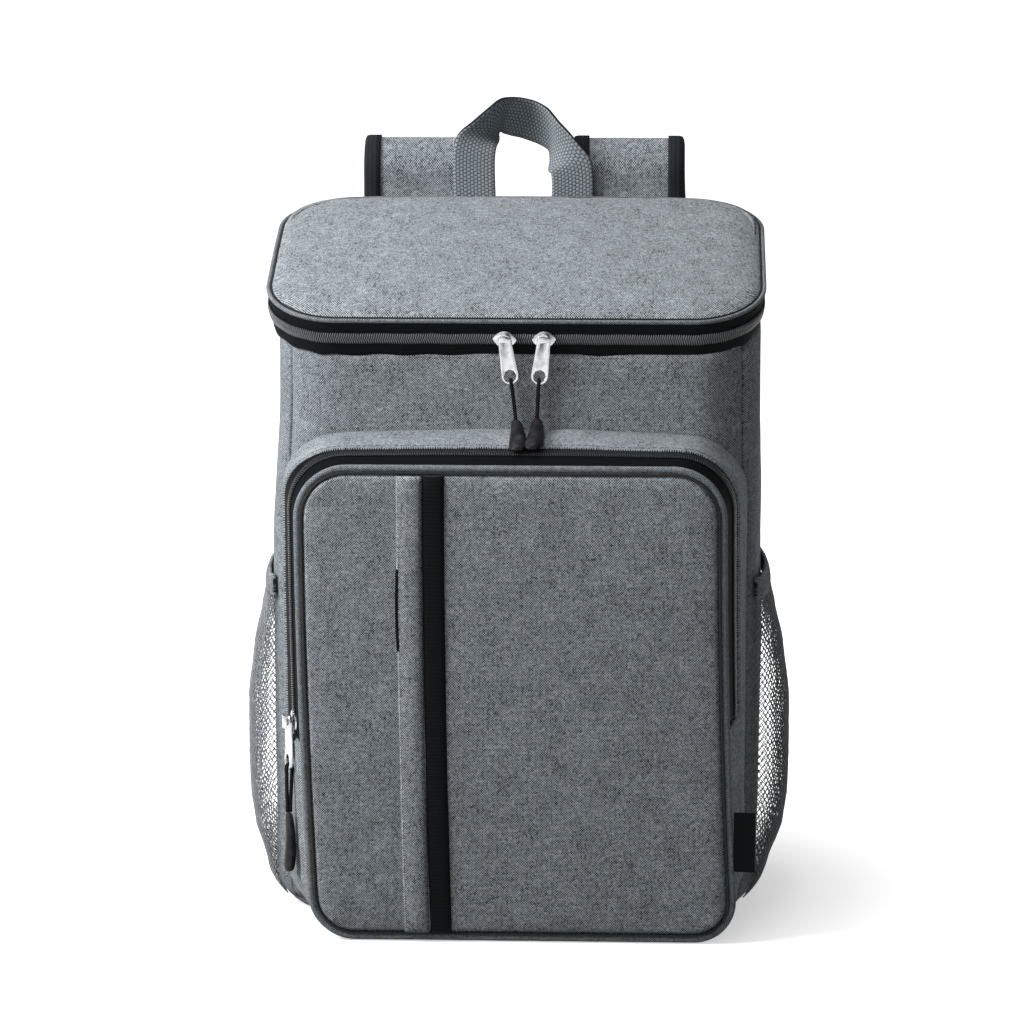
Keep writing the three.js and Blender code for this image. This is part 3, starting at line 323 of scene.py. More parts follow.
class NodeSheet:
    """Adds and joins nodes in one shader tree."""

    def __init__(self, tree: bpy.types.NodeTree) -> None:
        """Keeps the tree that the nodes go into."""
        self.tree = tree

    def add(self, kind: str, inputs: Optional[dict] = None, **settings) -> bpy.types.Node:
        """Adds one node.

        Args:
            kind: Blender's node type.
            inputs: values or sockets by input name or number.
            settings: properties of the node itself.

        Returns:
            The new node.
        """
        node = self.tree.nodes.new(kind)
        for name, value in settings.items():
            setattr(node, name, value)
        for name, value in (inputs or {}).items():
            self.feed(node.inputs[name], value)
        return node

    def feed(self, socket: bpy.types.NodeSocket, value) -> None:
        """Sets a socket's value, or joins another socket to it."""
        if isinstance(value, bpy.types.NodeSocket):
            self.tree.links.new(value, socket)
        else:
            socket.default_value = value

    def math(self, operation: str, *values) -> bpy.types.NodeSocket:
        """Adds a math node and gives its output."""
        node = self.add("ShaderNodeMath", operation=operation)
        for number, value in enumerate(values):
            self.feed(node.inputs[number], value)
        return node.outputs[0]

    def span(self, value, low: float, high: float, out_low: float, out_high: float) -> bpy.types.NodeSocket:
        """Maps a value from one range to another, clamped."""
        return self.add("ShaderNodeMapRange", {0: value, 1: low, 2: high, 3: out_low, 4: out_high}).outputs[0]

    def mix(self, share, first, second) -> bpy.types.NodeSocket:
        """Mixes two colours."""
        node = self.add("ShaderNodeMix", data_type="RGBA")
        for number, value in ((0, share), (6, first), (7, second)):
            self.feed(node.inputs[number], value)
        return node.outputs[2]

    def noise(self, vector, scale, detail: float = 2.0, rough: float = 0.5) -> bpy.types.NodeSocket:
        """Adds a noise texture and gives its value."""
        node = self.add("ShaderNodeTexNoise", {"Vector": vector, "Scale": scale, "Detail": detail,
                                               "Roughness": rough})
        return node.outputs[0]

    def wave(self, run) -> bpy.types.NodeSocket:
        """Sine that crosses zero at each whole number of a run."""
        return self.math("SINE", self.math("MULTIPLY", run, math.pi))

    def centred(self, value, weight: float) -> bpy.types.NodeSocket:
        """Weighs how far a value from 0 to 1 is from its middle."""
        return self.math("MULTIPLY", self.math("SUBTRACT", value, 0.5), weight)


def effect_group(name: str, inputs: dict[str, str], outputs: dict[str, str]
                 ) -> tuple[NodeSheet, bpy.types.Node, bpy.types.Node]:
    """Starts a shader node group.

    Args:
        name: name of the group.
        inputs: socket types by input name.
        outputs: socket types by output name.

    Returns:
        The group's sheet, and its input and output nodes.
    """
    tree = bpy.data.node_groups.new(name, "ShaderNodeTree")
    for way, sockets in (("INPUT", inputs), ("OUTPUT", outputs)):
        for socket, kind in sockets.items():
            tree.interface.new_socket(name=socket, in_out=way, socket_type=f"NodeSocket{kind}")
    sheet = NodeSheet(tree)
    return sheet, sheet.add("NodeGroupInput"), sheet.add("NodeGroupOutput")


def build_heather_group() -> None:
    """Plain weave of two-tone threads: colour and thread height from a surface map in metres."""
    sheet, given, result = effect_group(
        "heather_weave",
        {"Map": "Vector", "Pitch": "Float", "Dark": "Color", "Light": "Color", "Contrast": "Float"},
        {"Color": "Color", "Height": "Float"})
    parts = sheet.add("ShaderNodeSeparateXYZ", {0: given.outputs["Map"]})
    across = sheet.math("DIVIDE", parts.outputs[0], given.outputs["Pitch"])
    along = sheet.math("DIVIDE", parts.outputs[1], given.outputs["Pitch"])
    cross = sheet.math("MULTIPLY", sheet.wave(across), sheet.wave(along))
    over = sheet.span(cross, -0.25, 0.25, 0.0, 1.0)

    def thread(run: bpy.types.NodeSocket, side: bpy.types.NodeSocket, seed: float) -> bpy.types.NodeSocket:
        """Tone of threads that run one way: one value for each short length of a thread."""
        row = sheet.math("FLOOR", side)
        shift = sheet.add("ShaderNodeTexWhiteNoise", {"W": sheet.math("ADD", row, seed)},
                          noise_dimensions="1D").outputs[0]
        length = sheet.math("ADD", sheet.math("DIVIDE", run, THREAD_LENGTH),
                            sheet.math("MULTIPLY", shift, THREAD_SHIFT))
        spot = sheet.add("ShaderNodeCombineXYZ", {0: sheet.math("FLOOR", length), 1: row, 2: seed})
        return sheet.add("ShaderNodeTexWhiteNoise", {"Vector": spot.outputs[0]}).outputs[0]

    warp = thread(along, across, 3.7)
    weft = thread(across, along, 9.1)
    tone = sheet.math("ADD", sheet.math("MULTIPLY", warp, over),
                      sheet.math("MULTIPLY", weft, sheet.math("SUBTRACT", 1.0, over)))
    slub = sheet.noise(given.outputs["Map"], SLUB_SCALE, 2.0, 0.6)
    cloud = sheet.noise(given.outputs["Map"], CLOUD_SCALE, 3.0, 0.6)
    mottle = sheet.math("ADD", sheet.centred(slub, SLUB_WEIGHT), sheet.centred(cloud, CLOUD_WEIGHT))
    mixed = sheet.math("ADD", sheet.centred(tone, TONE_WEIGHT), mottle)
    mixed = sheet.math("ADD", mixed, sheet.centred(over, OVER_WEIGHT))
    share = sheet.math("ADD", sheet.math("MULTIPLY", mixed, given.outputs["Contrast"]), 0.5)
    share = sheet.span(share, 0.0, 1.0, 0.0, 1.0)
    height = sheet.math("POWER", sheet.math("ABSOLUTE", cross), 0.6)
    sheet.feed(result.inputs["Color"], sheet.mix(share, given.outputs["Dark"], given.outputs["Light"]))
    sheet.feed(result.inputs["Height"], height)


def build_rib_group() -> None:
    """Ribbed tape or webbing: ribs across its length, broken into columns, as height, and as a tone that
    follows the height: painted shade, darkest in the rib valleys and column gaps, with a random fray.
    """
    sheet, given, result = effect_group(
        "ribbed_tape", {"Map": "Vector", "Rib": "Float", "Column": "Float"},
        {"Height": "Float", "Tone": "Float"})
    parts = sheet.add("ShaderNodeSeparateXYZ", {0: given.outputs["Map"]})
    column = sheet.math("DIVIDE", parts.outputs[0], given.outputs["Column"])
    step = sheet.math("MULTIPLY", sheet.math("FLOOR", column), 0.5)
    run = sheet.math("ADD", sheet.math("DIVIDE", parts.outputs[1], given.outputs["Rib"]), step)
    rib = sheet.math("ABSOLUTE", sheet.wave(run))
    gap = sheet.math("ABSOLUTE", sheet.wave(column))
    height = sheet.math("MULTIPLY", sheet.math("POWER", rib, 0.5), sheet.math("POWER", gap, 0.3))
    fray = sheet.noise(given.outputs["Map"], FRAY_SCALE, 2.0)
    sheet.feed(result.inputs["Height"], height)
    # The tone is the height times a random fray, so the colour darkens in the valleys: painted shade.
    sheet.feed(result.inputs["Tone"], sheet.math("MULTIPLY", height, sheet.span(fray, 0.3, 0.7, 0.75, 1.0)))


def build_grain_group() -> None:
    """Fine grain and wear of moulded or plated pieces: height, and a mask of worn patches."""
    sheet, given, result = effect_group(
        "grain_and_wear", {"Map": "Vector", "Scale": "Float"}, {"Height": "Float", "Wear": "Float"})
    grain = sheet.noise(given.outputs["Map"], given.outputs["Scale"], 4.0)
    patches = sheet.noise(given.outputs["Map"], 160.0, 3.0)
    sheet.feed(result.inputs["Height"], grain)
    sheet.feed(result.inputs["Wear"], sheet.span(patches, 0.48, 0.68, 0.0, 1.0))


class MapKind(Enum):
    """Where a finish reads its pattern from."""

    SURFACE = "surface"
    SPACE = "space"


@dataclass(frozen=True)
class Finish:
    """Base of all finishes: a name, the record's slot, its gloss and the map that the pattern reads."""

    name: str
    slot: str
    roughness: float = 0.9
    source: MapKind = MapKind.SURFACE
    specular: float = 0.5

    def material(self) -> bpy.types.Material:
        """Gives the finish's material, made once."""
        made = bpy.data.materials.get(self.name)
        if made:
            return made
        made = bpy.data.materials.new(self.name)
        made.use_nodes = True
        sheet = NodeSheet(made.node_tree)
        shader = made.node_tree.nodes["Principled BSDF"]
        shader.inputs["Roughness"].default_value = self.roughness
        shader.inputs["Specular IOR Level"].default_value = self.specular
        if self.source is MapKind.SURFACE:
            spot = sheet.add("ShaderNodeUVMap", uv_map=WEAVE_UV).outputs[0]
        else:
            spot = sheet.add("ShaderNodeTexCoord").outputs["Object"]
        self.paint(sheet, shader, spot)
        return made

    def paint(self, sheet: NodeSheet, shader: bpy.types.Node, spot: bpy.types.NodeSocket) -> None:
        """Adds the finish's own nodes."""
        raise NotImplementedError

    @staticmethod
    def group(sheet: NodeSheet, name: str, inputs: dict) -> bpy.types.Node:
        """Places a shared effect in the material."""
        node = sheet.add("ShaderNodeGroup", node_tree=bpy.data.node_groups[name])
        for socket, value in inputs.items():
            sheet.feed(node.inputs[socket], value)
        return node

    @staticmethod
    def relief(sheet: NodeSheet, shader: bpy.types.Node, height, depth: float, strength: float) -> None:
        """Bumps the surface by a height."""
        node = sheet.add("ShaderNodeBump", {"Height": height, "Distance": depth, "Strength": strength})
        sheet.feed(shader.inputs["Normal"], node.outputs[0])


@dataclass(frozen=True)
class HeatherCloth(Finish):
    """Two-tone woven polyester in heather grey."""

    dark: Colour = (0.01, 0.013, 0.016)
    light: Colour = (0.41, 0.455, 0.49)
    pitch: float = 0.0007
    contrast: float = 2.6
    depth: float = 0.00018
    strength: float = 0.55
    specular: float = 0.25
    sheen: float = 0.05

    def paint(self, sheet: NodeSheet, shader: bpy.types.Node, spot: bpy.types.NodeSocket) -> None:
        """Weaves the threads and gives the cloth its dull sheen."""
        weave = self.group(sheet, "heather_weave", {"Map": spot, "Pitch": self.pitch, "Dark": (*self.dark, 1),
                                                    "Light": (*self.light, 1), "Contrast": self.contrast})
        sheet.feed(shader.inputs["Base Color"], weave.outputs["Color"])
        shader.inputs["Sheen Weight"].default_value = self.sheen
        self.relief(sheet, shader, weave.outputs["Height"], self.depth, self.strength)


@dataclass(frozen=True)
class RibbedTape(Finish):
    """Webbing, tape or binding with ribs across it."""

    dark: Colour = (0.0015, 0.0018, 0.002)
    light: Colour = (0.01, 0.011, 0.012)
    rib: float = 0.0012
    column: float = 0.004
    depth: float = 0.0003
    strength: float = 0.7
    specular: float = 0.06

    def paint(self, sheet: NodeSheet, shader: bpy.types.Node, spot: bpy.types.NodeSocket) -> None:
        """Weaves the ribs, with painted shade darkening their valleys."""
        if self.source is MapKind.SPACE:
            parts = sheet.add("ShaderNodeSeparateXYZ", {0: spot})
            spot = sheet.add("ShaderNodeCombineXYZ", {0: parts.outputs[0], 1: parts.outputs[2]}).outputs[0]
        tape = self.group(sheet, "ribbed_tape", {"Map": spot, "Rib": self.rib, "Column": self.column})
        # Dark colour in the rib valleys: painted shade.
        colour = sheet.mix(tape.outputs["Tone"], (*self.dark, 1), (*self.light, 1))
        sheet.feed(shader.inputs["Base Color"], colour)
        self.relief(sheet, shader, tape.outputs["Height"], self.depth, self.strength)


@dataclass(frozen=True)
class Moulded(Finish):
    """Moulded plastic, thread or plated metal with a fine grain and slight wear."""

    base: Colour = (0.01, 0.01, 0.011)
    worn: Colour = (0.03, 0.03, 0.032)
    metallic: float = 0.0
    grain: float = 1500.0
    depth: float = 0.00004
    strength: float = 0.4
    dulling: float = 0.12

    def paint(self, sheet: NodeSheet, shader: bpy.types.Node, spot: bpy.types.NodeSocket) -> None:
        """Grains the surface and dulls it in worn patches."""
        grain = self.group(sheet, "grain_and_wear", {"Map": spot, "Scale": self.grain})
        wear = grain.outputs["Wear"]
        sheet.feed(shader.inputs["Base Color"], sheet.mix(wear, (*self.base, 1), (*self.worn, 1)))
        rough = sheet.span(wear, 0, 1, self.roughness, self.roughness + self.dulling)
        sheet.feed(shader.inputs["Roughness"], rough)
        shader.inputs["Metallic"].default_value = self.metallic
        self.relief(sheet, shader, grain.outputs["Height"], self.depth, self.strength)


CLOTH = HeatherCloth("woven_heather", "heather_cloth")
# Lighter copy of the same heather cloth for the lid, pocket gusset and placket: painted light on the faces
# that catch the lamps.
CLOTH_PAINTED_LIT = HeatherCloth("woven_heather_painted_lit", "heather_cloth",
                           dark=(0.014, 0.018, 0.023), light=(0.46, 0.505, 0.54))
CLOTH_SPACE = HeatherCloth("woven_heather_base", "heather_cloth", source=MapKind.SPACE)
PIPING = HeatherCloth("woven_piping", "piping", dark=(0.045, 0.052, 0.06), light=(0.29, 0.32, 0.345))
BINDING = RibbedTape("grosgrain_tape", "binding", dark=(0.006, 0.007, 0.009), light=(0.03, 0.034, 0.04),
                     rib=0.0008, column=0.0025, depth=0.0002)
ZIP_TAPE = RibbedTape("woven_zip_tape", "zip", roughness=0.75, rib=0.0007, column=0.0013, depth=0.00012,
                      light=(0.006, 0.0066, 0.0074))
# The lid's coil is black nylon; its light grey base and lighter worn patches are painted highlight for the
# glint on its teeth.
ZIP_COIL_PAINTED_GLINT = Moulded("moulded_coil_painted_glint", "zip", roughness=0.2, specular=0.3,
                   base=(0.15, 0.155, 0.165), worn=(0.22, 0.22, 0.23))
POCKET_COIL = Moulded("moulded_dark_coil", "zip", roughness=0.2, specular=0.3,
                      base=(0.035, 0.036, 0.04), worn=(0.06, 0.06, 0.065))
BLACK_WEBBING = RibbedTape("ribbed_black", "black_webbing", roughness=0.7, rib=0.0021, column=0.012,
                           light=(0.006, 0.0066, 0.0074), depth=0.0005)
LOWER_WEBBING = RibbedTape("ribbed_lower", "black_webbing", roughness=0.7, source=MapKind.SPACE,
                           rib=0.0018, column=0.005)
GREY_WEBBING = RibbedTape("ribbed_grey", "grey_webbing", dark=(0.015, 0.018, 0.021),
                          light=(0.34, 0.38, 0.41), rib=0.0022, column=0.0021, depth=0.0006)
NET_THREAD = Moulded("net_thread", "net", roughness=0.8, base=(0.2, 0.215, 0.23), worn=(0.3, 0.315, 0.33))
# Near-black tubes laid in seam grooves: painted shade of the grooves, with the dark thread sewn in some of
# them.
SEAM_SHADE_AND_THREAD = Moulded("seam_shade_and_thread", "piping", base=(0.006, 0.007, 0.008), worn=(0.012, 0.013, 0.014))
STITCH = Moulded("sewing_thread", "black_webbing", roughness=0.7,
                 base=(0.035, 0.04, 0.045), worn=(0.06, 0.065, 0.07))
SILVER = Moulded("satin_nickel", "silver_metal", roughness=0.17, base=(0.46, 0.47, 0.48),
                 worn=(0.34, 0.35, 0.36), metallic=1.0, source=MapKind.SPACE, grain=700.0, depth=0.000008)
PLASTIC = Moulded("moulded_black", "black_plastic", roughness=0.42, source=MapKind.SPACE, specular=0.15)
CORD = RibbedTape("pull_cord", "black_plastic", roughness=0.7, source=MapKind.SPACE,
                  rib=0.0012, column=0.0006, light=(0.02, 0.021, 0.023))


def only_active(piece: bpy.types.Object) -> None:
    """Selects one object alone and makes it active."""
    bpy.ops.object.select_all(action="DESELECT")
    piece.select_set(True)
    bpy.context.view_layer.objects.active = piece


def apply_modifier(piece: bpy.types.Object, kind: str, **settings) -> None:
    """Adds a modifier with its settings and applies it."""
    only_active(piece)
    modifier = piece.modifiers.new(kind.lower(), kind)
    for name, value in settings.items():
        setattr(modifier, name, value)
    bpy.ops.object.modifier_apply(modifier=modifier.name)


def thicken(piece: bpy.types.Object, thickness: float, offset: float = -1) -> None:
    """Gives a cloth surface a thickness in millimetres, inwards unless the offset says otherwise."""
    apply_modifier(piece, "SOLIDIFY", thickness=thickness * MM, offset=offset)


def dress(piece: bpy.types.Object, finish: Finish, nodes: Sequence[str] = ()
          ) -> None:
    """Gives a finished piece its material, body and the nodes it stands for.

    Args:
        piece: the finished object.
        finish: its finish.
        nodes: CAD nodes that it replaces.
    """
    piece.data.materials.clear()
    piece.data.materials.append(finish.material())
    for polygon in piece.data.polygons:
        polygon.use_smooth = True
    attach(piece, ROOT)
    if nodes:
        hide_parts(*nodes)
    LOG.info("%s: %d faces", piece.name, len(piece.data.polygons))


def new_mesh(name: str, points: Sequence[Vector], faces: Sequence[Sequence[int]],
             maps: Optional[Sequence[tuple[float, float]]] = None) -> bpy.types.Object:
    """Makes an object from points in millimetres.

    Args:
        name: the piece's name.
        points: corners in the body's own frame.
        faces: corner numbers of each face, turned outwards.
        maps: surface map of each corner in metres.

    Returns:
        The new object, in the row frame.
    """
    mesh = bpy.data.meshes.new(name)
    mesh.from_pydata([tuple((point + SHIFT) * MM) for point in points], [], faces)
    if maps:
        layer = mesh.uv_layers.new(name=WEAVE_UV)
        corners = [0] * len(mesh.loops)
        mesh.loops.foreach_get("vertex_index", corners)
        layer.data.foreach_set("uv", [value for corner in corners for value in maps[corner]])
    piece = bpy.data.objects.new(name, mesh)
    bpy.context.scene.collection.objects.link(piece)
    return piece


def grid_mesh(name: str, rows: Grid, looped: bool = False, flip: bool = False, cap: bool = False,
              flat_map: Optional[Callable[[Vector], tuple[float, float]]] = None) -> bpy.types.Object:
    """Makes a cloth surface from rows of points.

    Args:
        name: the piece's name.
        rows: rows of points in millimetres.
        looped: whether each row closes on itself.
        flip: whether the faces are turned round.
        cap: whether the last row is closed by a fan to its middle.
        flat_map: surface map of a point in millimetres, instead of one along the rows.

    Returns:
        The new object.
    """
    height, width = len(rows), len(rows[0])
    points = [point for row in rows for point in row]
    steps = range(width if looped else width - 1)
    faces = []
    for low in range(height - 1):
        for column in steps:
            after = (column + 1) % width
            near, far = low * width, (low + 1) * width
            quad = [near + column, near + after, far + after, far + column]
            faces.append(quad[::-1] if flip else quad)
    if flat_map:
        maps = [tuple(value * MM for value in flat_map(point)) for point in points]
    else:
        middle = rows[height // 2]
        across = [0.0]
        for column in range(1, width):
            across.append(across[-1] + (middle[column] - middle[column - 1]).length)
        along = [0.0]
        for low in range(1, height):
            along.append(along[-1] + (rows[low][width // 2] - rows[low - 1][width // 2]).length)
        maps = [(across[column] * MM, along[low] * MM) for low in range(height) for column in range(width)]
    if cap:
        centre = sum(rows[-1], Vector()) / width
        points.append(centre)
        maps.append(tuple(value * MM for value in flat_map(centre)) if flat_map else maps[-1])
        base = (height - 1) * width
        for column in range(width):
            corner = [base + column, base + (column + 1) % width, len(points) - 1]
            faces.append(corner[::-1] if flip else corner)
    return new_mesh(name, points, faces, maps)


def tube(name: str, path: Sequence[Vector], radius: float, sides: int = 10, looped: bool = False,
         wobble: float = 0.0) -> bpy.types.Object:
    """Makes a round cord of cloth or thread along a path.

    Args:
        name: the piece's name.
        path: middle line in millimetres.
        radius: radius in millimetres.
        sides: corners of its section.
        looped: whether the path closes.
        wobble: how much its radius varies, in millimetres.

    Returns:
        The new object.
    """
    count = len(path)
    points, maps, length = [], [], 0.0
    side = Vector((0, 0, 1))
    for index, centre in enumerate(path):
        before = path[index - 1] if looped or index else path[0]
        after = path[(index + 1) % count] if looped or index < count - 1 else path[-1]
        tangent = (after - before).normalized()
        side = (side - tangent * side.dot(tangent)).normalized()
        normal = tangent.cross(side)
        size = radius + wobble * ripple(centre, 7, 4.2)
        for corner in range(sides):
            turn = 2 * math.pi * corner / sides
            points.append(centre + side * math.cos(turn) * size + normal * math.sin(turn) * size)
            maps.append((corner / sides * 2 * math.pi * radius * MM, length * MM))
        length += (after - before).length / 2
    faces = []
    for index in range(count if looped else count - 1):
        low, high = index * sides, (index + 1) % count * sides
        for corner in range(sides):
            after = (corner + 1) % sides
            faces.append([low + corner, low + after, high + after, high + corner])
    if not looped:
        faces.append(list(range(sides))[::-1])
        faces.append([(count - 1) * sides + corner for corner in range(sides)])
    return new_mesh(name, points, faces, maps)


def smooth_path(knots: Sequence[Vector], steps: int) -> list[Vector]:
    """Smooth curve through knots, with the given steps in each span."""
    ends = [knots[0] * 2 - knots[1], *knots, knots[-1] * 2 - knots[-2]]
    path = []
    for index in range(1, len(ends) - 2):
        near = ends[index - 1:index + 3]
        times = [0.0]
        for left, right in zip(near, near[1:]):
            times.append(times[-1] + max((right - left).length, 1e-6) ** 0.5)
        for step in range(steps):
            now = lerp(times[1], times[2], step / steps)
            level = list(near)
            for order, firsts in ((1, (0, 1, 2)), (2, (0, 1)), (1, (1,))):
                spans = [(times[first], times[first + order] - times[first]) for first in firsts]
                level = [level[slot].lerp(level[slot + 1], (now - begin) / span)
                         for slot, (begin, span) in enumerate(spans)]
            path.append(level[0])
    path.append(knots[-1].copy())
    return path


@dataclass
class Station:
    """A point of a band with the directions of its width and its face."""

    origin: Vector
    side: Vector
    normal: Vector


def stations(path: Sequence[Vector], sides: Sequence[Vector]) -> list[Station]:
    """Directions along a path whose width follows the given sides."""
    made = []
    for index, origin in enumerate(path):
        tangent = (path[min(index + 1, len(path) - 1)] - path[max(index - 1, 0)]).normalized()
        side = sides[index] - tangent * sides[index].dot(tangent)
        side.normalize()
        made.append(Station(origin, side, tangent.cross(side)))
    return made


def band(name: str, spots: Sequence[Station], section: Sequence[tuple[float, float]]) -> bpy.types.Object:
    """Sweeps a closed section of across and out values along stations.

    Args:
        name: the piece's name.
        spots: the stations.
        section: corners of the section in millimetres.

    Returns:
        The new closed object.
    """
    width = len(section)
    round_length = [0.0]
    for (x0, y0), (x1, y1) in zip(section, section[1:]):
        round_length.append(round_length[-1] + math.hypot(x1 - x0, y1 - y0))
    points, maps, length = [], [], 0.0
    for index, spot in enumerate(spots):
        if index:
            length += (spot.origin - spots[index - 1].origin).length
        for corner, (across, out) in enumerate(section):
            points.append(spot.origin + spot.side * across + spot.normal * out)
            maps.append((round_length[corner] * MM, length * MM))
    faces = []
    for index in range(len(spots) - 1):
        for corner in range(width):
            after = (corner + 1) % width
            faces.append([index * width + corner, index * width + after,
                          (index + 1) * width + after, (index + 1) * width + corner])
    faces.append(list(range(width))[::-1])
    faces.append([(len(spots) - 1) * width + corner for corner in range(width)])
    piece = new_mesh(name, points, faces, maps)
    only_active(piece)
    bpy.ops.object.mode_set(mode="EDIT")
    bpy.ops.mesh.select_all(action="SELECT")
    bpy.ops.mesh.normals_make_consistent(inside=False)
    bpy.ops.object.mode_set(mode="OBJECT")
    return piece


def repeated(name: str, unit: Sequence[Vector], faces: Sequence[Sequence[int]], frames: Sequence[Matrix]
             ) -> bpy.types.Object:
    """Copies one small unit, in millimetres, to each of many frames in one mesh."""
    points, all_faces, maps = [], [], []
    for matrix in frames:
        start = len(points)
        for corner in unit:
            points.append(matrix @ corner)
            maps.append((corner.x * MM, corner.y * MM))
        all_faces += [[start + number for number in face] for face in faces]
    return new_mesh(name, points, all_faces, maps)


def capsule(length: float, radius: float, flat: float = 1.0) -> tuple[list[Vector], list[list[int]]]:
    """Small rounded bar along X.

    Args:
        length: whole length.
        radius: radius at its middle.
        flat: share of the radius that it has along Z.

    Returns:
        Its corners and faces.
    """
    sides = 6
    rings = ((-0.5, 0.35), (-0.38, 0.85), (0.0, 1.0), (0.38, 0.85), (0.5, 0.35))
    points = [Vector((share * length, radius * size * math.cos(2 * math.pi * corner / sides),
                      radius * size * flat * math.sin(2 * math.pi * corner / sides)))
              for share, size in rings for corner in range(sides)]
    faces = [[ring * sides + corner, ring * sides + (corner + 1) % sides,
              (ring + 1) * sides + (corner + 1) % sides, (ring + 1) * sides + corner][::-1]
             for ring in range(len(rings) - 1) for corner in range(sides)]
    faces.append(list(range(sides)))
    faces.append([(len(rings) - 1) * sides + corner for corner in range(sides)][::-1])
    return points, faces


def frame_matrix(origin: Vector, x_axis: Vector, z_axis: Vector) -> Matrix:
    """Matrix that puts X along one direction and Z near another."""
    x_unit = x_axis.normalized()
    y_unit = z_axis.cross(x_unit).normalized()
    z_unit = x_unit.cross(y_unit)
    matrix = Matrix((x_unit, y_unit, z_unit)).transposed().to_4x4()
    matrix.translation = origin
    return matrix


def spaced(path: Sequence[Vector], outs: Sequence[Vector], pitch: float, start: float
           ) -> list[tuple[Vector, Vector, Vector]]:
    """Points at an even pitch along a path, each with its tangent and outward direction."""
    found = []
    travelled, target = 0.0, start
    for index in range(len(path) - 1):
        step = path[index + 1] - path[index]
        length = step.length
        while length > 1e-6 and target <= travelled + length:
            share = (target - travelled) / length
            found.append((path[index] + step * share, step.normalized(),
                          outs[index].lerp(outs[index + 1], share).normalized()))
            target += pitch
        travelled += length
    return found


def stitch_row(name: str, path: Sequence[Vector], outs: Sequence[Vector], radius: float) -> None:
    """Sews a row of stitches along a path.

    Args:
        name: the piece's name.
        path: line of the stitches in millimetres.
        outs: outward direction at each point of the line.
        radius: radius of the thread.
    """
    unit, faces = capsule(STITCH_LENGTH, radius)
    spots = spaced(path, outs, STITCH_LENGTH + STITCH_GAP, 1.0)
    frames = [frame_matrix(point, tangent, out) for point, tangent, out in spots]
    dress(repeated(name, unit, faces, frames), STITCH)


def zip_chain(name: str, node: str, finish: Finish, lines: Grid, turn: int) -> None:
    """Lays two rows of coil teeth along a zip's middle line.

    Args:
        name: the piece's name.
        node: CAD node that it stands for.
        finish: finish of the teeth.
        lines: points below, on and above the middle line, in millimetres.
        turn: 1 where the outside is to the right of the line's run, -1 where it is to the left.
    """
    low, path, high = lines
    ups = [(top - bottom).normalized() for bottom, top in zip(low, high)]
    outs = [(path[min(index + 1, len(path) - 1)] - path[max(index - 1, 0)]).cross(up).normalized() * turn
            for index, up in enumerate(ups)]
    unit, faces = capsule(TOOTH_LENGTH, TOOTH_RADIUS, flat=1.2)
    frames = []
    for sign, start in ((1, TOOTH_START), (-1, TOOTH_START + TOOTH_PITCH / 2)):
        across = spaced(path, [up * sign for up in ups], TOOTH_PITCH, start)
        facing = spaced(path, outs, TOOTH_PITCH, start)
        for (point, tangent, up), (_, _, out) in zip(across, facing):
            lean = (up + tangent * 0.22 - out * 0.12).normalized()
            frames.append(frame_matrix(point + up * TOOTH_SIDE + out * 0.2, lean, out))
    dress(repeated(name, unit, faces, frames), finish, [node])


def refined_copy(name: str, node: str, finish: Finish, bevel: float = 0.0, levels: int = 0
                 ) -> bpy.types.Object:
    """Copies a CAD node whose shape is right, merges it, rounds its edges and dresses it.

    Args:
        name: the piece's name.
        node: the CAD node.
        finish: its finish.
        bevel: width of the rounded edges in millimetres.
        levels: subdivision levels that smooth it.

    Returns:
        The new object.
    """
    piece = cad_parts[node].copy()
    piece.data = piece.data.copy()
    piece.name = name
    piece.data.name = name
    for key in list(piece.keys()):
        del piece[key]
    piece.parent = None
    bpy.context.scene.collection.objects.link(piece)
    piece.matrix_world = Matrix.Identity(4)
    only_active(piece)
    bpy.ops.object.mode_set(mode="EDIT")
    bpy.ops.mesh.select_all(action="SELECT")
    bpy.ops.mesh.remove_doubles(threshold=0.00001)
    bpy.ops.mesh.dissolve_limited(angle_limit=math.radians(1.0))
    bpy.ops.object.mode_set(mode="OBJECT")
    if bevel:
        apply_modifier(piece, "BEVEL", width=bevel * MM, segments=3, limit_method="ANGLE",
                       angle_limit=math.radians(35))
    if levels:
        apply_modifier(piece, "SUBSURF", levels=levels, render_levels=levels)
    dress(piece, finish, [node])
    only_active(piece)
    bpy.ops.object.shade_smooth_by_angle(angle=math.radians(40))
    return piece


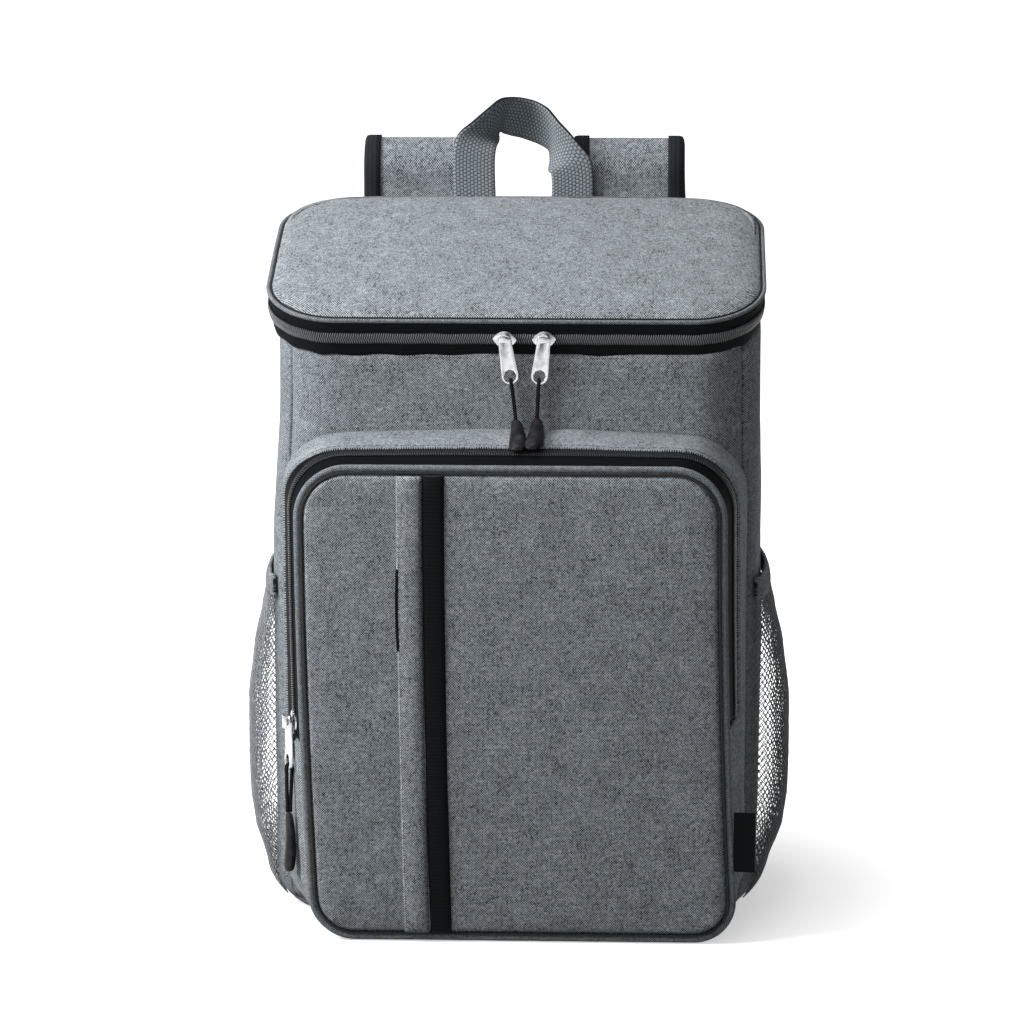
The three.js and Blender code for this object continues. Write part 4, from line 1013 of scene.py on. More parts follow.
@dataclass
class Body:
    """The padded walls and the base, with their corner seams and the stitches under the lid."""

    pitch: float = 3.2
    wall: float = 6.0
    tuck: float = 1.7
    tuck_reach: float = 3.2
    rim_tuck: float = 0.9
    rim_reach: float = 2.2
    rim_drop: float = 2.4
    dents: Dents = ((0.8, 46, 0), (0.28, 17, 5))
    pucker: float = 0.35
    seam_depth: float = 1.5
    seam_shade_radius: float = 0.75
    seam_gap: float = 0.008
    straight: float = 160
    slack_depth: float = 4.6
    slack_start: float = 215
    slack_reach: float = 95

    def slack(self, x: float, z: float) -> float:
        """How far the empty left side sinks in under the lid."""
        share = clamp((z - self.slack_start) / self.slack_reach)
        return self.slack_depth * ease(share) * clamp(-x / BODY.half_width) ** 3

    def wall_rows(self, start: float, end: float, seed: float) -> Grid:
        """Rows of one wall between two places, with seam tucks and soft dents."""
        places = BODY.plan.places(start, end, self.pitch)
        edges = [BODY.skin(start, self.straight), BODY.skin(end, self.straight)]
        heights = [0.0, 0.012, 0.025, 0.04, 0.06] + [0.08 + 0.92 * step / 88 for step in range(89)]
        rows = []
        for share in heights:
            row = []
            for place in places:
                top = BODY.top_at(BODY.plan.spot(place)[1])
                z = lerp(BODY.base, top, share)
                flat = BODY.skin(place, z)
                seam = min((Vector((flat.x, flat.y, self.straight)) - edge).length for edge in edges)
                rim_tuck = self.rim_tuck * bump(top - z, self.rim_reach)
                stand = -self.tuck * bump(seam, self.tuck_reach) - rim_tuck
                stand += dented(flat, self.dents, seed)
                squeezed = Vector((flat.x, flat.y, flat.z * 2.2))
                stand += self.pucker * bump(seam - 6, 6) * ripple(squeezed, 14, seed + 9)
                row.append(BODY.skin(place, z, stand - self.slack(flat.x, z)))
            rows.append(row)
        return rows

    def build(self) -> None:
        """Builds and dresses the walls, the base, the corner seams and the stitches."""
        gap, front, back = self.seam_gap, BODY.front_seam, BODY.back_seam
        seams = (("front_cloth", "front_wall", -front, front, 1.3),
                 ("right_gusset_cloth", "right_side_wall", front + gap, back - gap, 6.1),
                 ("left_gusset_cloth", "left_side_wall", -back + gap, -front - gap, 8.7),
                 ("back_cloth", "back_wall", back, 10 - back, 3.9))
        for name, node, start, end, seed in seams:
            piece = grid_mesh(name, self.wall_rows(start, end, seed))
            thicken(piece, self.wall)
            dress(piece, CLOTH, [node])
        refined_copy("base_cloth", "base_panel", CLOTH_SPACE, bevel=1.6)
        self.sew_corners()
        self.sew_rim()

    def sew_corners(self) -> None:
        """Lays a dark tube deep in the two front corner seams: painted shade of the seam gaps."""
        for name, place in (("corner_seam_shade_left", -BODY.front_seam), ("corner_seam_shade_right", BODY.front_seam)):
            top = BODY.top_at(BODY.plan.spot(place)[1]) - 1
            path = []
            for step in range(61):
                z = lerp(BODY.foot, top, step / 60)
                path.append(BODY.skin(place, z, -self.seam_depth - self.slack(BODY.skin(place, z).x, z)))
            dress(tube(name, path, self.seam_shade_radius, 6, False, 0.1), SEAM_SHADE_AND_THREAD)

    def sew_rim(self) -> None:
        """Topstitches the cloth under the lid's zip."""
        path, outs = [], []
        for place in BODY.plan.places(-BODY.back_seam, BODY.back_seam, 3):
            x, y, nx, ny = BODY.plan.spot(place, 0.1)
            point = Vector((x, y, BODY.top_at(BODY.plan.spot(place)[1]) - self.rim_drop))
            out = Vector((nx, ny, 0))
            stand = BODY.crown_at(place, point.z) - 0.5 - self.slack(point.x, point.z)
            path.append(point + out * stand)
            outs.append(out)
        stitch_row("rim_stitches", path, outs, 0.24)


@dataclass
class Lid:
    """The crowned lid with its piping, zip tape, zip chain and hinge."""

    overhang: float = LID_OVERHANG
    piping: float = 1.25
    crown: float = 12.5
    pitch: float = 3.0
    tape_inset: float = 1.2
    tape_lean: float = 3.2
    tuck: float = 2.4
    back_drop: float = 3.5
    corner_drop: float = 4
    dents: Dents = ((0.9, 52, 2.7), (0.35, 18, 7.7))
    pucker: float = 0.55
    cushion: float = 5
    tape: float = 1.2
    hinge: float = 2.6

    @property
    def plan(self) -> Outline:
        """Outline of the lid seen from above."""
        grow = self.overhang
        return Outline(BODY.half_width + grow, -BODY.depth / 2 - grow, BODY.depth / 2 + grow,
                       BODY.front_radius + grow, BODY.back_radius + grow)

    def rim(self, y: float) -> float:
        """Height of the lid's rim, which sinks towards the back."""
        return BODY.top_at(y) + BODY.band - self.back_drop * max(0.0, y / BODY.depth + 0.5) ** 2

    def droop(self, x: float, y: float) -> float:
        """How far the cloth hangs at the lid's back corners."""
        return self.corner_drop * abs(x / BODY.half_width) ** 5 * clamp(y / BODY.depth * 2) ** 1.5

    def spot(self, place: float, inset: float, spread: float, rise: float) -> Vector:
        """Point of the lid by its inset from the outline, spread from the middle and rise from the rim."""
        x, y, _, _ = self.plan.spot(place, inset)
        height = self.rim(y * spread) + rise - self.droop(x * spread, y * spread) * clamp(rise / 3)
        return Vector((x * spread, y * spread, height))

    def build(self) -> None:
        """Builds and dresses the whole lid."""
        self.build_cushion()
        places = self.plan.places(-5, 5, FINE_PITCH)[:-1]
        path = [self.spot(place, self.piping + 0.1, 1, 3.6) for place in places]
        dress(tube("lid_piping_cord", path, self.piping, 12, True, 0.08), PIPING, ["lid_piping"])
        # A dark tube in the groove inside the piping: painted shade of the groove, with its dark thread.
        groove = [self.spot(place, 2 * self.piping + 0.5, 1, 4.4) for place in places]
        dress(tube("lid_seam_shade_and_thread", groove, 0.65, 6, True, 0.1), SEAM_SHADE_AND_THREAD)
        self.build_zip()

    def build_cushion(self) -> None:
        """Builds the padded top, from its underside round its edge to its crown."""
        edge = 2 * self.piping
        profile = [(edge + 5, 1, 0.2), (edge + 1.6, 1, 0.6), (edge + 0.3, 1, 1.6), (edge + 0.3, 1, 3.2),
                   (edge + 0.7, 1, 4.3), (edge + 1.3, 1, 5.0), (edge + 2.4, 1, 5.7), (edge + 4.2, 1, 6.5),
                   (edge + 6.8, 1, 7.3), (edge + 10.5, 1, 8.1)]
        steps = 26
        for step in range(1, steps):
            spread = 1 - (step / steps) ** 1.25
            profile.append((edge + 10.5, max(spread, 0.02),
                            lerp(8.1, self.crown, math.sin(math.pi / 2 * step / steps))))
        places = self.plan.places(-5, 5, self.pitch)[:-1]
        rows = []
        for inset, spread, rise in profile:
            row = []
            for place in places:
                point = self.spot(place, inset, spread, rise)
                if rise > 4.8:
                    fade = clamp((rise - 4.8) / 4)
                    point.z += fade * dented(point, self.dents)
                    point.z += self.pucker * bump(rise - 7, 1.3) * ripple(point, 9, 1.1)
                row.append(point)
            rows.append(row)
        piece = grid_mesh("lid_cushion", rows, looped=True, cap=True,
                          flat_map=lambda point: (point.x, point.y))
        thicken(piece, self.cushion)
        dress(piece, CLOTH_PAINTED_LIT, ["lid_panel"])

    def tape_rows(self, start: float, end: float, shares: Sequence[float], out: float, lean: float = 0.0
                  ) -> Grid:
        """Rows of the band between walls and lid, which may lean outwards to the lid's edge."""
        places = BODY.plan.places(start, end, FINE_PITCH)
        rows = []
        for share in shares:
            row = []
            for place in places:
                plan_y = BODY.plan.spot(place)[1]
                x, y, _, _ = BODY.plan.spot(place, self.tape_inset - out - lean * share)
                wave = 0.5 * math.sin(place * 23) * (1 - share)
                low, high = BODY.top_at(plan_y) - 0.8 + wave, self.rim(plan_y) + self.tuck
                row.append(Vector((x, y, lerp(low, high, share))))
            rows.append(row)
        return rows

    def build_zip(self) -> None:
        """Builds the tape with its chain, and the hinge of cloth at the back."""
        seam = BODY.back_seam
        shares = [step / 10 for step in range(11)]
        piece = grid_mesh("lid_tape", self.tape_rows(-seam, seam, shares, 0.2, self.tape_lean))
        thicken(piece, self.tape)
        dress(piece, ZIP_TAPE, ["lid_zip_tape"])
        lines = self.tape_rows(-seam, seam, (0.3, 0.5, 0.7), 0.9, self.tape_lean)
        zip_chain("lid_teeth", "lid_zip_coil", ZIP_COIL_PAINTED_GLINT, lines, 1)
        hinge_rows = self.tape_rows(seam + 0.01, 9.99 - seam, shares, self.tape_inset - 0.2)
        hinge = grid_mesh("lid_hinge_cloth", hinge_rows)
        thicken(hinge, self.hinge)
        dress(hinge, CLOTH, ["lid_hinge"])


@dataclass
class FrontPocket:
    """The front pocket: gusset, zip, piping, padded face, placket, webbing and blank label."""

    pitch: float = 3.0
    fabric: float = 2.4
    gusset_tuck: float = 0.9
    gusset_dents: Dents = ((0.55, 30, 5.5), (0.3, 11, 2.2))
    stitch_gap: float = 0.045
    face_tuck: float = 1.1
    face_dents: Dents = ((0.7, 60, 3.1), (0.25, 21, 6.4))
    pucker: float = 0.35
    band_dent: float = 0.25
    line_end: float = 8
    label_middle: float = 58.5
    label: float = 0.9
    tape: float = 1.0
    face: float = 4

    def build(self) -> None:
        """Builds and dresses the whole pocket."""
        self.build_gusset()
        self.build_zip()
        self.build_face()
        self.build_placket()
        self.build_label()

    def gusset_spot(self, place: float, share: float) -> Vector:
        """Point of the gusset's cloth with its seam tuck and soft dents."""
        flat = POCKET.gusset(place, share)
        run = flat.y - POCKET.gusset(place, 0).y
        stand = -self.gusset_tuck * bump(run, 1.6) + dented(flat, self.gusset_dents)
        if abs(place) < 1.6:
            stand += 0.8 * math.sin(math.pi * clamp(share / POCKET.tape_share)) * ripple(flat, 24, 8.8)
        return POCKET.gusset(place, share, stand * (0.4 if share > 0.95 else 1))

    def build_gusset(self) -> None:
        """Builds the cloth that runs round the pocket between the body and the zip."""
        left, right = -POCKET.place_at(POCKET.left_zip_end), POCKET.place_at(POCKET.right_zip_end)
        upper = POCKET.outline.places(left, right, self.pitch)
        lower = POCKET.outline.places(right + 0.012, 10 + left - 0.012, self.pitch)
        stops = [(place, POCKET.tape_start(place)) for place in upper] + [(place, 1.0) for place in lower]
        stops = [(place if place <= 5 else place - 10, reach) for place, reach in stops]
        shares = [0.0, 0.02, 0.045] + [0.08 + 0.92 * step / 16 for step in range(17)]
        rows = [[self.gusset_spot(place, share * reach) for place, reach in stops] for share in shares]
        piece = grid_mesh("pocket_gusset_cloth", rows, looped=True, flip=True)
        thicken(piece, self.fabric)
        dress(piece, CLOTH_PAINTED_LIT, ["pocket_gusset"])
        seams = [POCKET.tape_start(place) - self.stitch_gap for place in upper]
        edge = [self.gusset_spot(place, share) for place, share in zip(upper, seams)]
        outs = [(point - POCKET.gusset(place, share, -5)).normalized()
                for point, place, share in zip(edge, upper, seams)]
        stitch_row("gusset_stitches", edge, outs, 0.24)

    def build_zip(self) -> None:
        """Builds the pocket's tape and chain."""
        left = -POCKET.place_at(POCKET.left_zip_end) + 0.004
        right = POCKET.place_at(POCKET.right_zip_end) - 0.004
        places = POCKET.outline.places(left, right, FINE_PITCH)
        rows = [[POCKET.gusset(place, lerp(POCKET.tape_start(place) - 0.03, 1.0, step / 6), -1.1)
                 for place in places] for step in range(7)]
        piece = grid_mesh("pocket_tape", rows, flip=True)
        thicken(piece, self.tape)
        dress(piece, ZIP_TAPE, ["pocket_zip_tape"])
        lines = [[POCKET.gusset(place, POCKET.tape_share + step, -0.5) for place in places]
                 for step in (0.05, 0.1, 0.15)]
        zip_chain("pocket_teeth", "pocket_zip_coil", POCKET_COIL, lines, -1)

    def build_face(self) -> None:
        """Builds the padded face and the piping round it."""
        places = POCKET.outline.places(-5, 5, FINE_PITCH)[:-1]
        path = [POCKET.face_spot(place, POCKET.piping) + Vector((0, POCKET.piping, 0)) for place in places]
        dress(tube("pocket_piping_cord", path, POCKET.piping, 12, True, 0.1), PIPING, ["pocket_piping"])
        edge = 2 * POCKET.piping
        # A dark tube in the groove inside the piping: painted shade of the groove, with its dark thread.
        groove = [POCKET.face_spot(place, edge + 0.5) - Vector((0, 0.1, 0)) for place in places]
        dress(tube("pocket_seam_shade_and_thread", groove, 0.85, 6, True, 0.12), SEAM_SHADE_AND_THREAD)
        rows = [[POCKET.face_spot(place, edge + 0.4) + Vector((0, 5.2, 0)) for place in places],
                [POCKET.face_spot(place, edge - 0.2) + Vector((0, 3.4, 0)) for place in places]]
        rings = [(edge + inset, 1.0) for inset in (-0.2, 0.3, 1.0, 1.7, 2.6, 3.8, 5.5, 8, 11, 15)]
        rings += [(edge + 15, 1 - (step / 30) ** 1.15) for step in range(1, 30)]
        for inset, spread in rings:
            row = []
            for place in places:
                border = POCKET.face_spot(place, inset)
                z = lerp(POCKET.height / 2, border.z, spread)
                x = (border.x - POCKET.lean_at(border.z)) * spread + POCKET.lean_at(z)
                out = POCKET.face_out(x, z) if inset > edge + 2 else 0.0
                seam = inset - edge - 1.2 if spread == 1.0 else BEYOND
                spot = Vector((x, POCKET.face_y, z))
                dents = clamp(seam / 4) * dented(spot, self.face_dents)
                out += -self.face_tuck * bump(seam, 0.9) + dents
                out += self.pucker * bump(seam - 5, 4) * ripple(spot, 8, 9.4)
                row.append(Vector((x, POCKET.face_y - out, z)))
            rows.append(row)
        piece = grid_mesh("pocket_face", rows, looped=True, flip=True, cap=True,
                          flat_map=lambda point: (point.x, point.z))
        thicken(piece, self.face)
        dress(piece, CLOTH, ["pocket_panel"])
        line = [POCKET.face_spot(place, edge + 1.3) + Vector((0, 0.6, 0)) for place in places + [5]]
        stitch_row("face_stitches", line, [FORWARD] * len(line), 0.3)

    def face_band(self, name: str, centre: float, width: float, thickness: float, lift: float, finish: Finish,
                  node: str, bow: float) -> None:
        """Lays a flat band down the face.

        Args:
            name: the piece's name.
            centre: its middle in X.
            width: its width.
            thickness: its thickness.
            lift: its height over the face.
            finish: its finish.
            node: CAD node that it stands for.
            bow: how much its middle stands out.
        """
        edge = 2 * POCKET.piping + 1.6
        columns = [step / 10 - 0.5 for step in range(11)]
        rows = []
        for step in range(101):
            z = lerp(edge, POCKET.height - edge, step / 100)
            row = []
            for share in columns:
                x = centre + share * width + POCKET.lean_at(z) / 2
                round_off = math.sqrt(max(0.0, 1 - (2 * abs(share)) ** 3))
                out = POCKET.face_out(x, z) + lift + thickness * round_off
                out += bow * (1 - 4 * share * share) + self.band_dent * ripple(Vector((x, 0, z)), 26, 4.4)
                row.append(Vector((x, POCKET.face_y - out, z)))
            rows.append(row)
        piece = grid_mesh(name, rows)
        thicken(piece, thickness * 0.7)
        dress(piece, finish, [node])

    def build_placket(self) -> None:
        """Builds the raised placket with its slit, and the ribbed webbing beside it."""
        self.face_band("placket_cloth", -55.6, 14.2, 1.5, 0.35, CLOTH_PAINTED_LIT, "placket", 0.7)
        self.face_band("ribbed_webbing", -42.2, 12.1, 1.3, 0.3, BLACK_WEBBING, "front_webbing", 0.1)
        # A black tube along the slit darkens it.
        slit = []
        for step in range(25):
            z = lerp(167, 213, step / 24)
            x = -62.2 + POCKET.lean_at(z) / 2 - 0.6 * math.sin(math.pi * step / 24)
            slit.append(Vector((x, POCKET.face_y - POCKET.face_out(x, z) - 1.0, z)))
        dress(tube("placket_slit_dark_line", slit, 0.85, 8), ZIP_TAPE)
        for side, x_line in (("left", -61.4), ("right", -50.0)):
            line = []
            for step in range(90):
                z = lerp(self.line_end, POCKET.height - self.line_end, step / 89)
                x = x_line + POCKET.lean_at(z) / 2
                line.append(Vector((x, POCKET.face_y - POCKET.face_out(x, z) - 2.3, z)))
            stitch_row(f"placket_stitches_{side}", line, [FORWARD] * len(line), 0.2)

    def build_label(self) -> None:
        """Builds the blank folded label in the right seam."""
        rows = []
        left = POCKET.half_width + POCKET.lean_at(self.label_middle)
        for step in range(18):
            z = self.label_middle + lerp(-17, 17, step / 17)
            row = []
            for share in [index / 10 for index in range(11)]:
                curl = 1.6 * share ** 2 + 0.5 * math.sin(3 * share) * ripple(Vector((0, 0, z)), 20, 2.2)
                row.append(Vector((left + 12 * share, POCKET.face_y + 1.6 - curl * 0.6, z)))
            rows.append(row)
        piece = grid_mesh("blank_label", rows)
        thicken(piece, self.label, 1)
        apply_modifier(piece, "BEVEL", width=0.25 * MM, segments=2, limit_method="ANGLE")
        dress(piece, ZIP_TAPE, ["side_label"])


@dataclass
class NetPocket:
    """A net side pocket with its gathered hem."""

    name: str
    sign: int
    foot: float = 6
    hem_bottom: float = 182.5
    hem_height: float = 12.5
    bulge: float = 15.8
    seat: float = 0.9
    cell_width: float = 2.5
    cell_height: float = 2.2
    strand: float = 0.72
    shake: float = 0.12
    gather: float = 0.4
    puff: float = 0.5
    hem_fabric: float = 2.0

    def __post_init__(self) -> None:
        """Finds the places between which the net is sewn."""
        self.first = BODY.front_seam + 0.17
        self.last = BODY.back_seam

    def cheek(self, place: float) -> float:
        """Share of the swell at a place."""
        return max(0.0, math.sin(math.pi * (place - self.first) / (self.last - self.first))) ** 0.8

    def swell(self, z: float) -> float:
        """Share of the swell at a height."""
        table = ((self.foot, 0.0), (BODY.foot, 0.42), (40, 0.88), (58, 1.02), (79.7, 1.04), (115, 1.0),
                 (147, 0.74), (169.5, 0.42), (182.2, 0.25))
        for (low, start), (high, end) in zip(table, table[1:]):
            if z <= high:
                share = clamp((z - low) / (high - low))
                return lerp(start, end, lerp(share, ease(share), 0.35))
        return table[-1][1]

    def spot(self, place: float, z: float, out: float = 0.0) -> Vector:
        """Point of the net."""
        stand = self.seat + 0.5 + self.bulge * self.swell(z) * self.cheek(place) + out
        return BODY.skin(self.sign * place, z, stand)

    def build(self) -> None:
        """Builds the strands and the hem."""
        self.build_net()
        self.build_hem()

    def build_net(self) -> None:
        """Knots a diamond net over the swollen wall and gives its strands a thickness."""
        fine = [lerp(self.first, self.last, step / 400) for step in range(401)]
        lengths = [0.0]
        for before, after in zip(fine, fine[1:]):
            lengths.append(lengths[-1] + (self.spot(after, 100) - self.spot(before, 100)).length)
        columns = round(lengths[-1] / self.cell_width / 2) * 2
        places = []
        index = 0
        for column in range(columns + 1):
            target = lengths[-1] * column / columns
            while index < len(lengths) - 2 and lengths[index + 1] < target:
                index += 1
            share = (target - lengths[index]) / max(lengths[index + 1] - lengths[index], 1e-6)
            places.append(lerp(fine[index], fine[index + 1], share))
        count = round((self.hem_bottom - self.foot) / self.cell_height / 2) * 2
        dice = random.Random(11 + self.sign)
        points, numbers, maps = [], {}, []
        for row in range(count + 1):
            for column in range(columns + 1):
                if (row + column) % 2:
                    continue
                z = lerp(self.foot, self.hem_bottom + 2, row / count)
                shake = 0.0 if row in (0, count) or column in (0, columns) else self.shake
                numbers[row, column] = len(points)
                spot = self.spot(places[column], z + dice.uniform(-shake, shake), dice.uniform(-shake, shake))
                points.append(spot + Vector((0, dice.uniform(-shake, shake), 0)))
                maps.append((lengths[-1] * column / columns * MM, z * MM))
        faces = []
        for row in range(1, count):
            for column in range(1, columns):
                if (row + column) % 2:
                    quad = [numbers[row, column - 1], numbers[row - 1, column], numbers[row, column + 1],
                            numbers[row + 1, column]]
                    faces.append(quad if self.sign > 0 else quad[::-1])
        piece = new_mesh(f"net_{self.name}", points, faces, maps)
        apply_modifier(piece, "WIREFRAME", thickness=self.strand * MM, use_even_offset=False)
        dress(piece, NET_THREAD, [f"net_pocket_{self.name}"])

    def build_hem(self) -> None:
        """Builds the elastic hem with its small gathers."""
        places = BODY.plan.places(self.first, self.last, 1.5)
        rows = []
        for share in [step / 8 for step in range(9)]:
            z = lerp(self.hem_bottom, self.hem_bottom + self.hem_height, share)
            arch = math.sin(math.pi * share)
            row = []
            for place in places:
                gather = self.gather * math.sin(place * 95 + 2 * math.sin(place * 17)) * arch
                stand = self.seat + 2.2 + (0.5 + (1 - share) * 2) * self.cheek(place)
                stand += (gather + self.puff * arch) * clamp(self.cheek(place) * 3)
                row.append(BODY.skin(self.sign * place, z, stand))
            rows.append(row)
        piece = grid_mesh(f"net_hem_cloth_{self.name}", rows, flip=self.sign < 0)
        thicken(piece, self.hem_fabric)
        dress(piece, CLOTH, [f"net_hem_{self.name}"])


@dataclass
class GrabHandle:
    """The grey webbing handle that folds over at its left and leans back behind the lid."""

    half_span: float = 41.5
    width: float = 25
    thickness: float = 1.6
    height: float = 77
    lean: float = 27
    steps: int = 10

    def build(self) -> None:
        """Lays the webbing along its outer edge, turned as the table says."""
        table = ((-1, -0.1, -0.1, (1, 0, 0)), (-1, -0.09, 0, (1, 0, 0)), (-1, 0, 0.15, (1, 0, 0)),
                 (-1, 0, 0.59, (0.99, 0.08, -0.1)), (-0.93, 0, 0.7, (0.89, 0.28, -0.27)),
                 (-0.73, 0, 0.79, (0.59, 0.67, -0.45)), (-0.51, 0.04, 0.89, (0.21, 0.71, -0.68)),
                 (-0.34, 0.15, 0.96, (-0.05, 0.59, -0.81)), (-0.2, 0.41, 0.97, (-0.19, 0.44, -0.88)),
                 (-0.02, 0.59, 0.96, (-0.24, 0.31, -0.92)), (0.17, 0.67, 0.93, (-0.27, 0.32, -0.91)),
                 (0.32, 0.56, 0.885, (-0.21, 0.43, -0.88)), (0.425, 0.33, 0.83, (-0.16, 0.55, -0.82)),
                 (0.515, 0.15, 0.78, (-0.25, 0.61, -0.75)), (0.64, 0.04, 0.715, (-0.43, 0.5, -0.72)),
                 (0.81, 0, 0.61, (-0.73, 0.22, -0.6)), (0.96, 0, 0.5, (-0.96, 0.03, -0.28)),
                 (1, 0, 0.15, (-1, 0, -0.04)), (1, -0.09, 0, (-1, 0, 0)), (1, -0.1, -0.1, (-1, 0, 0)))
        foot = BODY.top_at(BODY.depth / 2)
        start_y = BODY.depth / 2 + BACK_GAP + self.thickness / 2
        knots = [Vector((across * self.half_span, start_y + back * self.lean, foot + rise * self.height))
                 for across, back, rise, _ in table]
        edge = smooth_path(knots, self.steps)
        turns = smooth_path([Vector(turn) for _, _, _, turn in table], self.steps)
        rows = [[origin + turn.normalized() * self.width * share / 12 for share in range(13)]
                for origin, turn in zip(edge, turns)]
        piece = grid_mesh("handle_webbing", rows)
        apply_modifier(piece, "SOLIDIFY", thickness=self.thickness * MM, offset=0, use_even_offset=False)
        dress(piece, GREY_WEBBING, ["grab_handle"])


@dataclass
class ShoulderStrap:
    """A padded shoulder strap with bound edges, and its buckle and lower webbing."""

    name: str
    sign: int
    centre: float = 62
    width: float = 66
    thickness: float = 9
    binding: float = 9.5
    tape: float = 0.9
    crest: float = 434
    lower_x: float = 94
    lower_height: float = 196
    stand_off: float = 3.1
    reach: float = 33

    def spots(self) -> list[Station]:
        """Stations along the strap's middle line."""
        table = ((0.7, -0.13, 0), (0.79, -0.05, 0), (0.89, 0, 0), (0.955, 0.02, 0), (1, 0.3, 0),
                 (0.955, 0.6, 0), (0.86, 0.74, 0.02), (0.7, 0.9, 0.12), (0.48, 1, 0.4), (0.24, 0.88, 0.78),
                 (0, 0.62, 1))
        half = self.thickness / 2 + 1.5
        inner_y = BODY.depth / 2 + BACK_GAP + self.stand_off + half
        knots = [Vector((self.sign * lerp(self.centre, self.lower_x, spread), inner_y + out * self.reach,
                         lerp(self.lower_height, self.crest - half, rise))) for rise, out, spread in table]
        path = smooth_path(knots, 12)
        return stations(path, [Vector((1, 0, 0))] * len(path))

    def build(self) -> None:
        """Builds the pad, its bindings, the buckle and the webbing."""
        spots = self.spots()
        section = []
        half, thick = self.width / 2 - 1.6, self.thickness / 2
        for step in range(48):
            turn = 2 * math.pi * step / 48
            across = math.copysign(abs(math.cos(turn)) ** 0.25, math.cos(turn)) * half
            out = math.copysign(abs(math.sin(turn)) ** 0.55, math.sin(turn)) * thick
            section.append((across, out))
        pad = band(f"strap_pad_{self.name}", spots, section)
        dress(pad, CLOTH, [f"shoulder_strap_{self.name}"])
        for edge, sign in (("outer", self.sign), ("inner", -self.sign)):
            self.build_binding(spots, edge, sign)
        refined_copy(f"ladder_lock_{self.name}", f"strap_buckle_{self.name}", PLASTIC, bevel=0.7)
        refined_copy(f"lock_loop_{self.name}", f"buckle_loop_{self.name}", LOWER_WEBBING)
        refined_copy(f"adjusting_webbing_{self.name}", f"lower_webbing_{self.name}", LOWER_WEBBING)

    def build_binding(self, spots: Sequence[Station], edge: str, sign: int) -> None:
        """Folds the binding tape over one edge of the pad."""
        outer, inner, out = self.width / 2, self.width / 2 - self.binding, self.thickness / 2 + 0.9
        half = [(inner, out), (inner + 3, out), (outer - 3, out), (outer - 1.2, out * 0.92),
                (outer - 0.4, out * 0.6)]
        fold = half + [(outer, 0)] + [(across, -depth) for across, depth in reversed(half)]
        rows = [[spot.origin + spot.side * across * sign + spot.normal * depth for across, depth in fold]
                for spot in spots]
        piece = grid_mesh(f"binding_{self.name}_{edge}", rows, flip=sign > 0)
        thicken(piece, self.tape, 0)
        dress(piece, BINDING, [f"strap_binding_{self.name}_{edge}"])


@dataclass
class ZipPull:
    """A zip slider with its tab, cord and moulded grip."""

    stem: str
    end: str = ""
    shift: float = 0.0
    stretch: float = 1.0
    cord_swell: float = 0.35
    neck_swell: float = 1.15
    grip_swell: float = 1.7
    grip_stretch: float = 1.25
    grip_bow: float = 1.0
    widen: float = 1.0

    def build(self) -> None:
        """Refines the CAD pieces of one pull, hung as the photograph shows them."""
        tag = f"{self.stem}{self.end}"
        slider = refined_copy(f"slider_{tag}", f"{self.stem}_slider{self.end}", SILVER, bevel=0.45)
        tab = refined_copy(f"tab_{tag}", f"{self.stem}_pull{self.end}", SILVER, bevel=0.3)
        cord = refined_copy(f"cord_{tag}", f"{self.stem}_cord{self.end}", CORD)
        grip = refined_copy(f"grip_{tag}", f"{self.stem}_grip{self.end}", PLASTIC, levels=2)
        top = max(vertex.co.z for vertex in slider.data.vertices)
        for vertex in cord.data.vertices:
            vertex.co += vertex.normal * self.cord_swell * MM
        self.swell_grip(grip)
        middle = sum((vertex.co.x for vertex in tab.data.vertices), 0.0) / len(tab.data.vertices)
        for piece in (slider, tab, cord, grip):
            widen = self.widen if piece in (slider, tab) else 1.0
            for vertex in piece.data.vertices:
                vertex.co.x = middle + (vertex.co.x - middle) * widen + self.shift * MM
                vertex.co.z = top + (vertex.co.z - top) * self.stretch

    def swell_grip(self, grip: bpy.types.Object) -> None:
        """Makes the moulded grip fuller towards its end and gives it a slight bow."""
        spots = [vertex.co for vertex in grip.data.vertices]
        high, low = max(spot.z for spot in spots), min(spot.z for spot in spots)
        middle = sum(spots, Vector()) / len(spots)
        for spot in spots:
            share = (high - spot.z) / (high - low)
            size = lerp(self.neck_swell, self.grip_swell, share)
            bow = self.grip_bow * MM * math.sin(math.pi * share)
            spot.x = middle.x + (spot.x - middle.x) * size + bow
            spot.y = middle.y + (spot.y - middle.y) * size
            spot.z = high - (high - spot.z) * self.grip_stretch


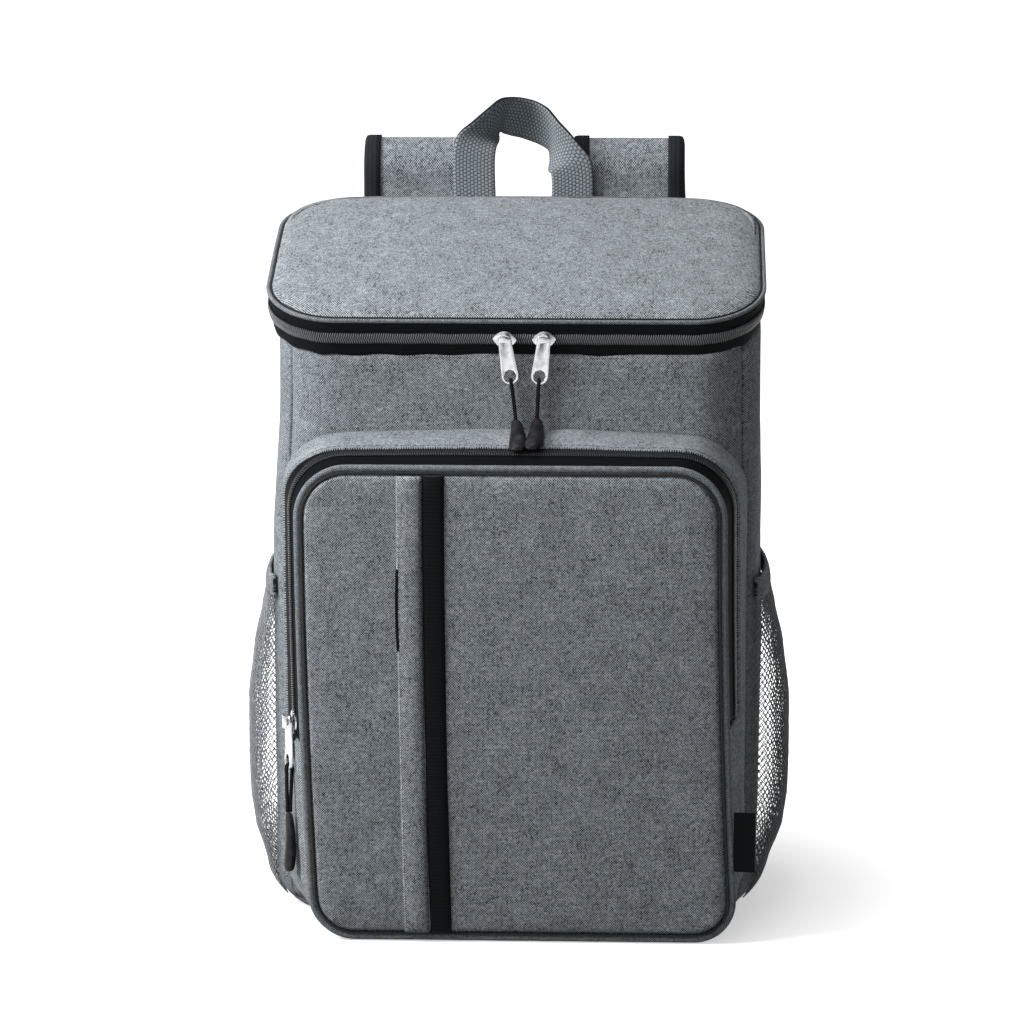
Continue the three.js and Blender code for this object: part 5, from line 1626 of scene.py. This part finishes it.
@dataclass(frozen=True)
class Studio:
    """Camera at the photograph's angle, soft lights and a pale floor."""

    azimuth: float = 2.3
    elevation: float = 10.0
    distance: float = 2.4
    target_x: float = -0.0037
    target_z: float = 0.223
    lens: float = 145.1
    sensor: float = 36
    floor_size: float = 60
    floor_drop: float = 0.0004
    surround: float = 0.125

    def build(self) -> None:
        """Builds the whole studio."""
        bpy.context.scene.view_settings.view_transform = "Standard"
        self.build_camera()
        self.build_floor()
        self.build_lights()

    def build_camera(self) -> None:
        """Adds the camera."""
        turn, tilt = math.radians(self.azimuth), math.radians(self.elevation)
        look = Vector((-math.sin(turn) * math.cos(tilt), math.cos(turn) * math.cos(tilt), -math.sin(tilt)))
        target = Vector((self.target_x, SHIFT.y * MM, self.target_z))
        data = bpy.data.cameras.new("photo_camera")
        data.lens = self.lens
        data.sensor_width = self.sensor
        data.clip_end = 50
        camera = bpy.data.objects.new("photo_camera", data)
        camera.location = target - look * self.distance
        camera.rotation_euler = look.to_track_quat("-Z", "Y").to_euler()
        bpy.context.scene.collection.objects.link(camera)
        bpy.context.scene.camera = camera

    def build_floor(self) -> None:
        """Adds the pale floor, which glows with painted light: weaker near the object, so that the real
        shadow shows there, and full further off.
        """
        bpy.ops.object.select_all(action="DESELECT")
        bpy.ops.mesh.primitive_plane_add(size=self.floor_size, location=(0, 0, -self.floor_drop))
        floor = bpy.context.active_object
        floor.name = "studio_floor"
        material = bpy.data.materials.new("studio_floor")
        material.use_nodes = True
        shader = material.node_tree.nodes["Principled BSDF"]
        sheet = NodeSheet(material.node_tree)
        spot = sheet.add("ShaderNodeTexCoord").outputs["Object"]
        away = sheet.add("ShaderNodeVectorMath", {0: spot}, operation="LENGTH").outputs["Value"]
        # Painted light: the floor's glow grows with distance from the object.
        sheet.feed(shader.inputs["Emission Strength"], sheet.span(away, 0.15, 0.42, 0.5, 1.1))
        grain = sheet.noise(spot, 40.0)
        sheet.feed(shader.inputs["Base Color"], sheet.mix(grain, (0.9, 0.9, 0.9, 1), (0.93, 0.93, 0.93, 1)))
        shader.inputs["Roughness"].default_value = 0.9
        shader.inputs["Emission Color"].default_value = (1, 1, 1, 1)
        floor.data.materials.append(material)
        floor.visible_diffuse = False

    def build_lights(self) -> None:
        """Adds the soft lights and the white surround."""
        aim = Vector((0, 0, 0.25))
        for name, place, size, power in (("key", (-0.95, -0.44, 0.8), 0.5, 16),
                                         ("top", (-0.35, 0.0, 1.9), 1.0, 16),
                                         ("front", (-0.7, -1.8, 0.8), 1.5, 8),
                                         ("back", (0.5, 2.0, 1.0), 1.2, 8)):
            data = bpy.data.lights.new(f"{name}_light", "AREA")
            data.size = size
            data.energy = power
            light = bpy.data.objects.new(f"{name}_light", data)
            light.location = place
            light.rotation_euler = (aim - Vector(place)).to_track_quat("-Z", "Y").to_euler()
            bpy.context.scene.collection.objects.link(light)
        world = bpy.data.worlds.new("studio")
        world.use_nodes = True
        sheet = NodeSheet(world.node_tree)
        background = world.node_tree.nodes["Background"]
        background.inputs["Color"].default_value = (1, 1, 1, 1)
        seen = sheet.add("ShaderNodeLightPath").outputs["Is Camera Ray"]
        sheet.feed(background.inputs["Strength"], sheet.span(seen, 0, 1, self.surround, 1.0))
        bpy.context.scene.world = world


def main() -> None:
    """Builds the whole dressed backpack."""
    logging.basicConfig(level=logging.INFO, format="%(message)s")
    build_heather_group()
    build_rib_group()
    build_grain_group()
    assemblies: list[Union[Studio, Body, Lid, FrontPocket, NetPocket, GrabHandle, ShoulderStrap, ZipPull]] = [
        Studio(), Body(), Lid(), FrontPocket(), NetPocket("left", -1), NetPocket("right", 1), GrabHandle(),
        ShoulderStrap("left", -1), ShoulderStrap("right", 1), ZipPull("lid", "_left"),
        ZipPull("lid", "_right"), ZipPull("pocket", shift=4, stretch=1.1, widen=1.7)]
    for assembly in assemblies:
        LOG.info("building %s", type(assembly).__name__)
        assembly.build()


if __name__ == "__main__":
    main()
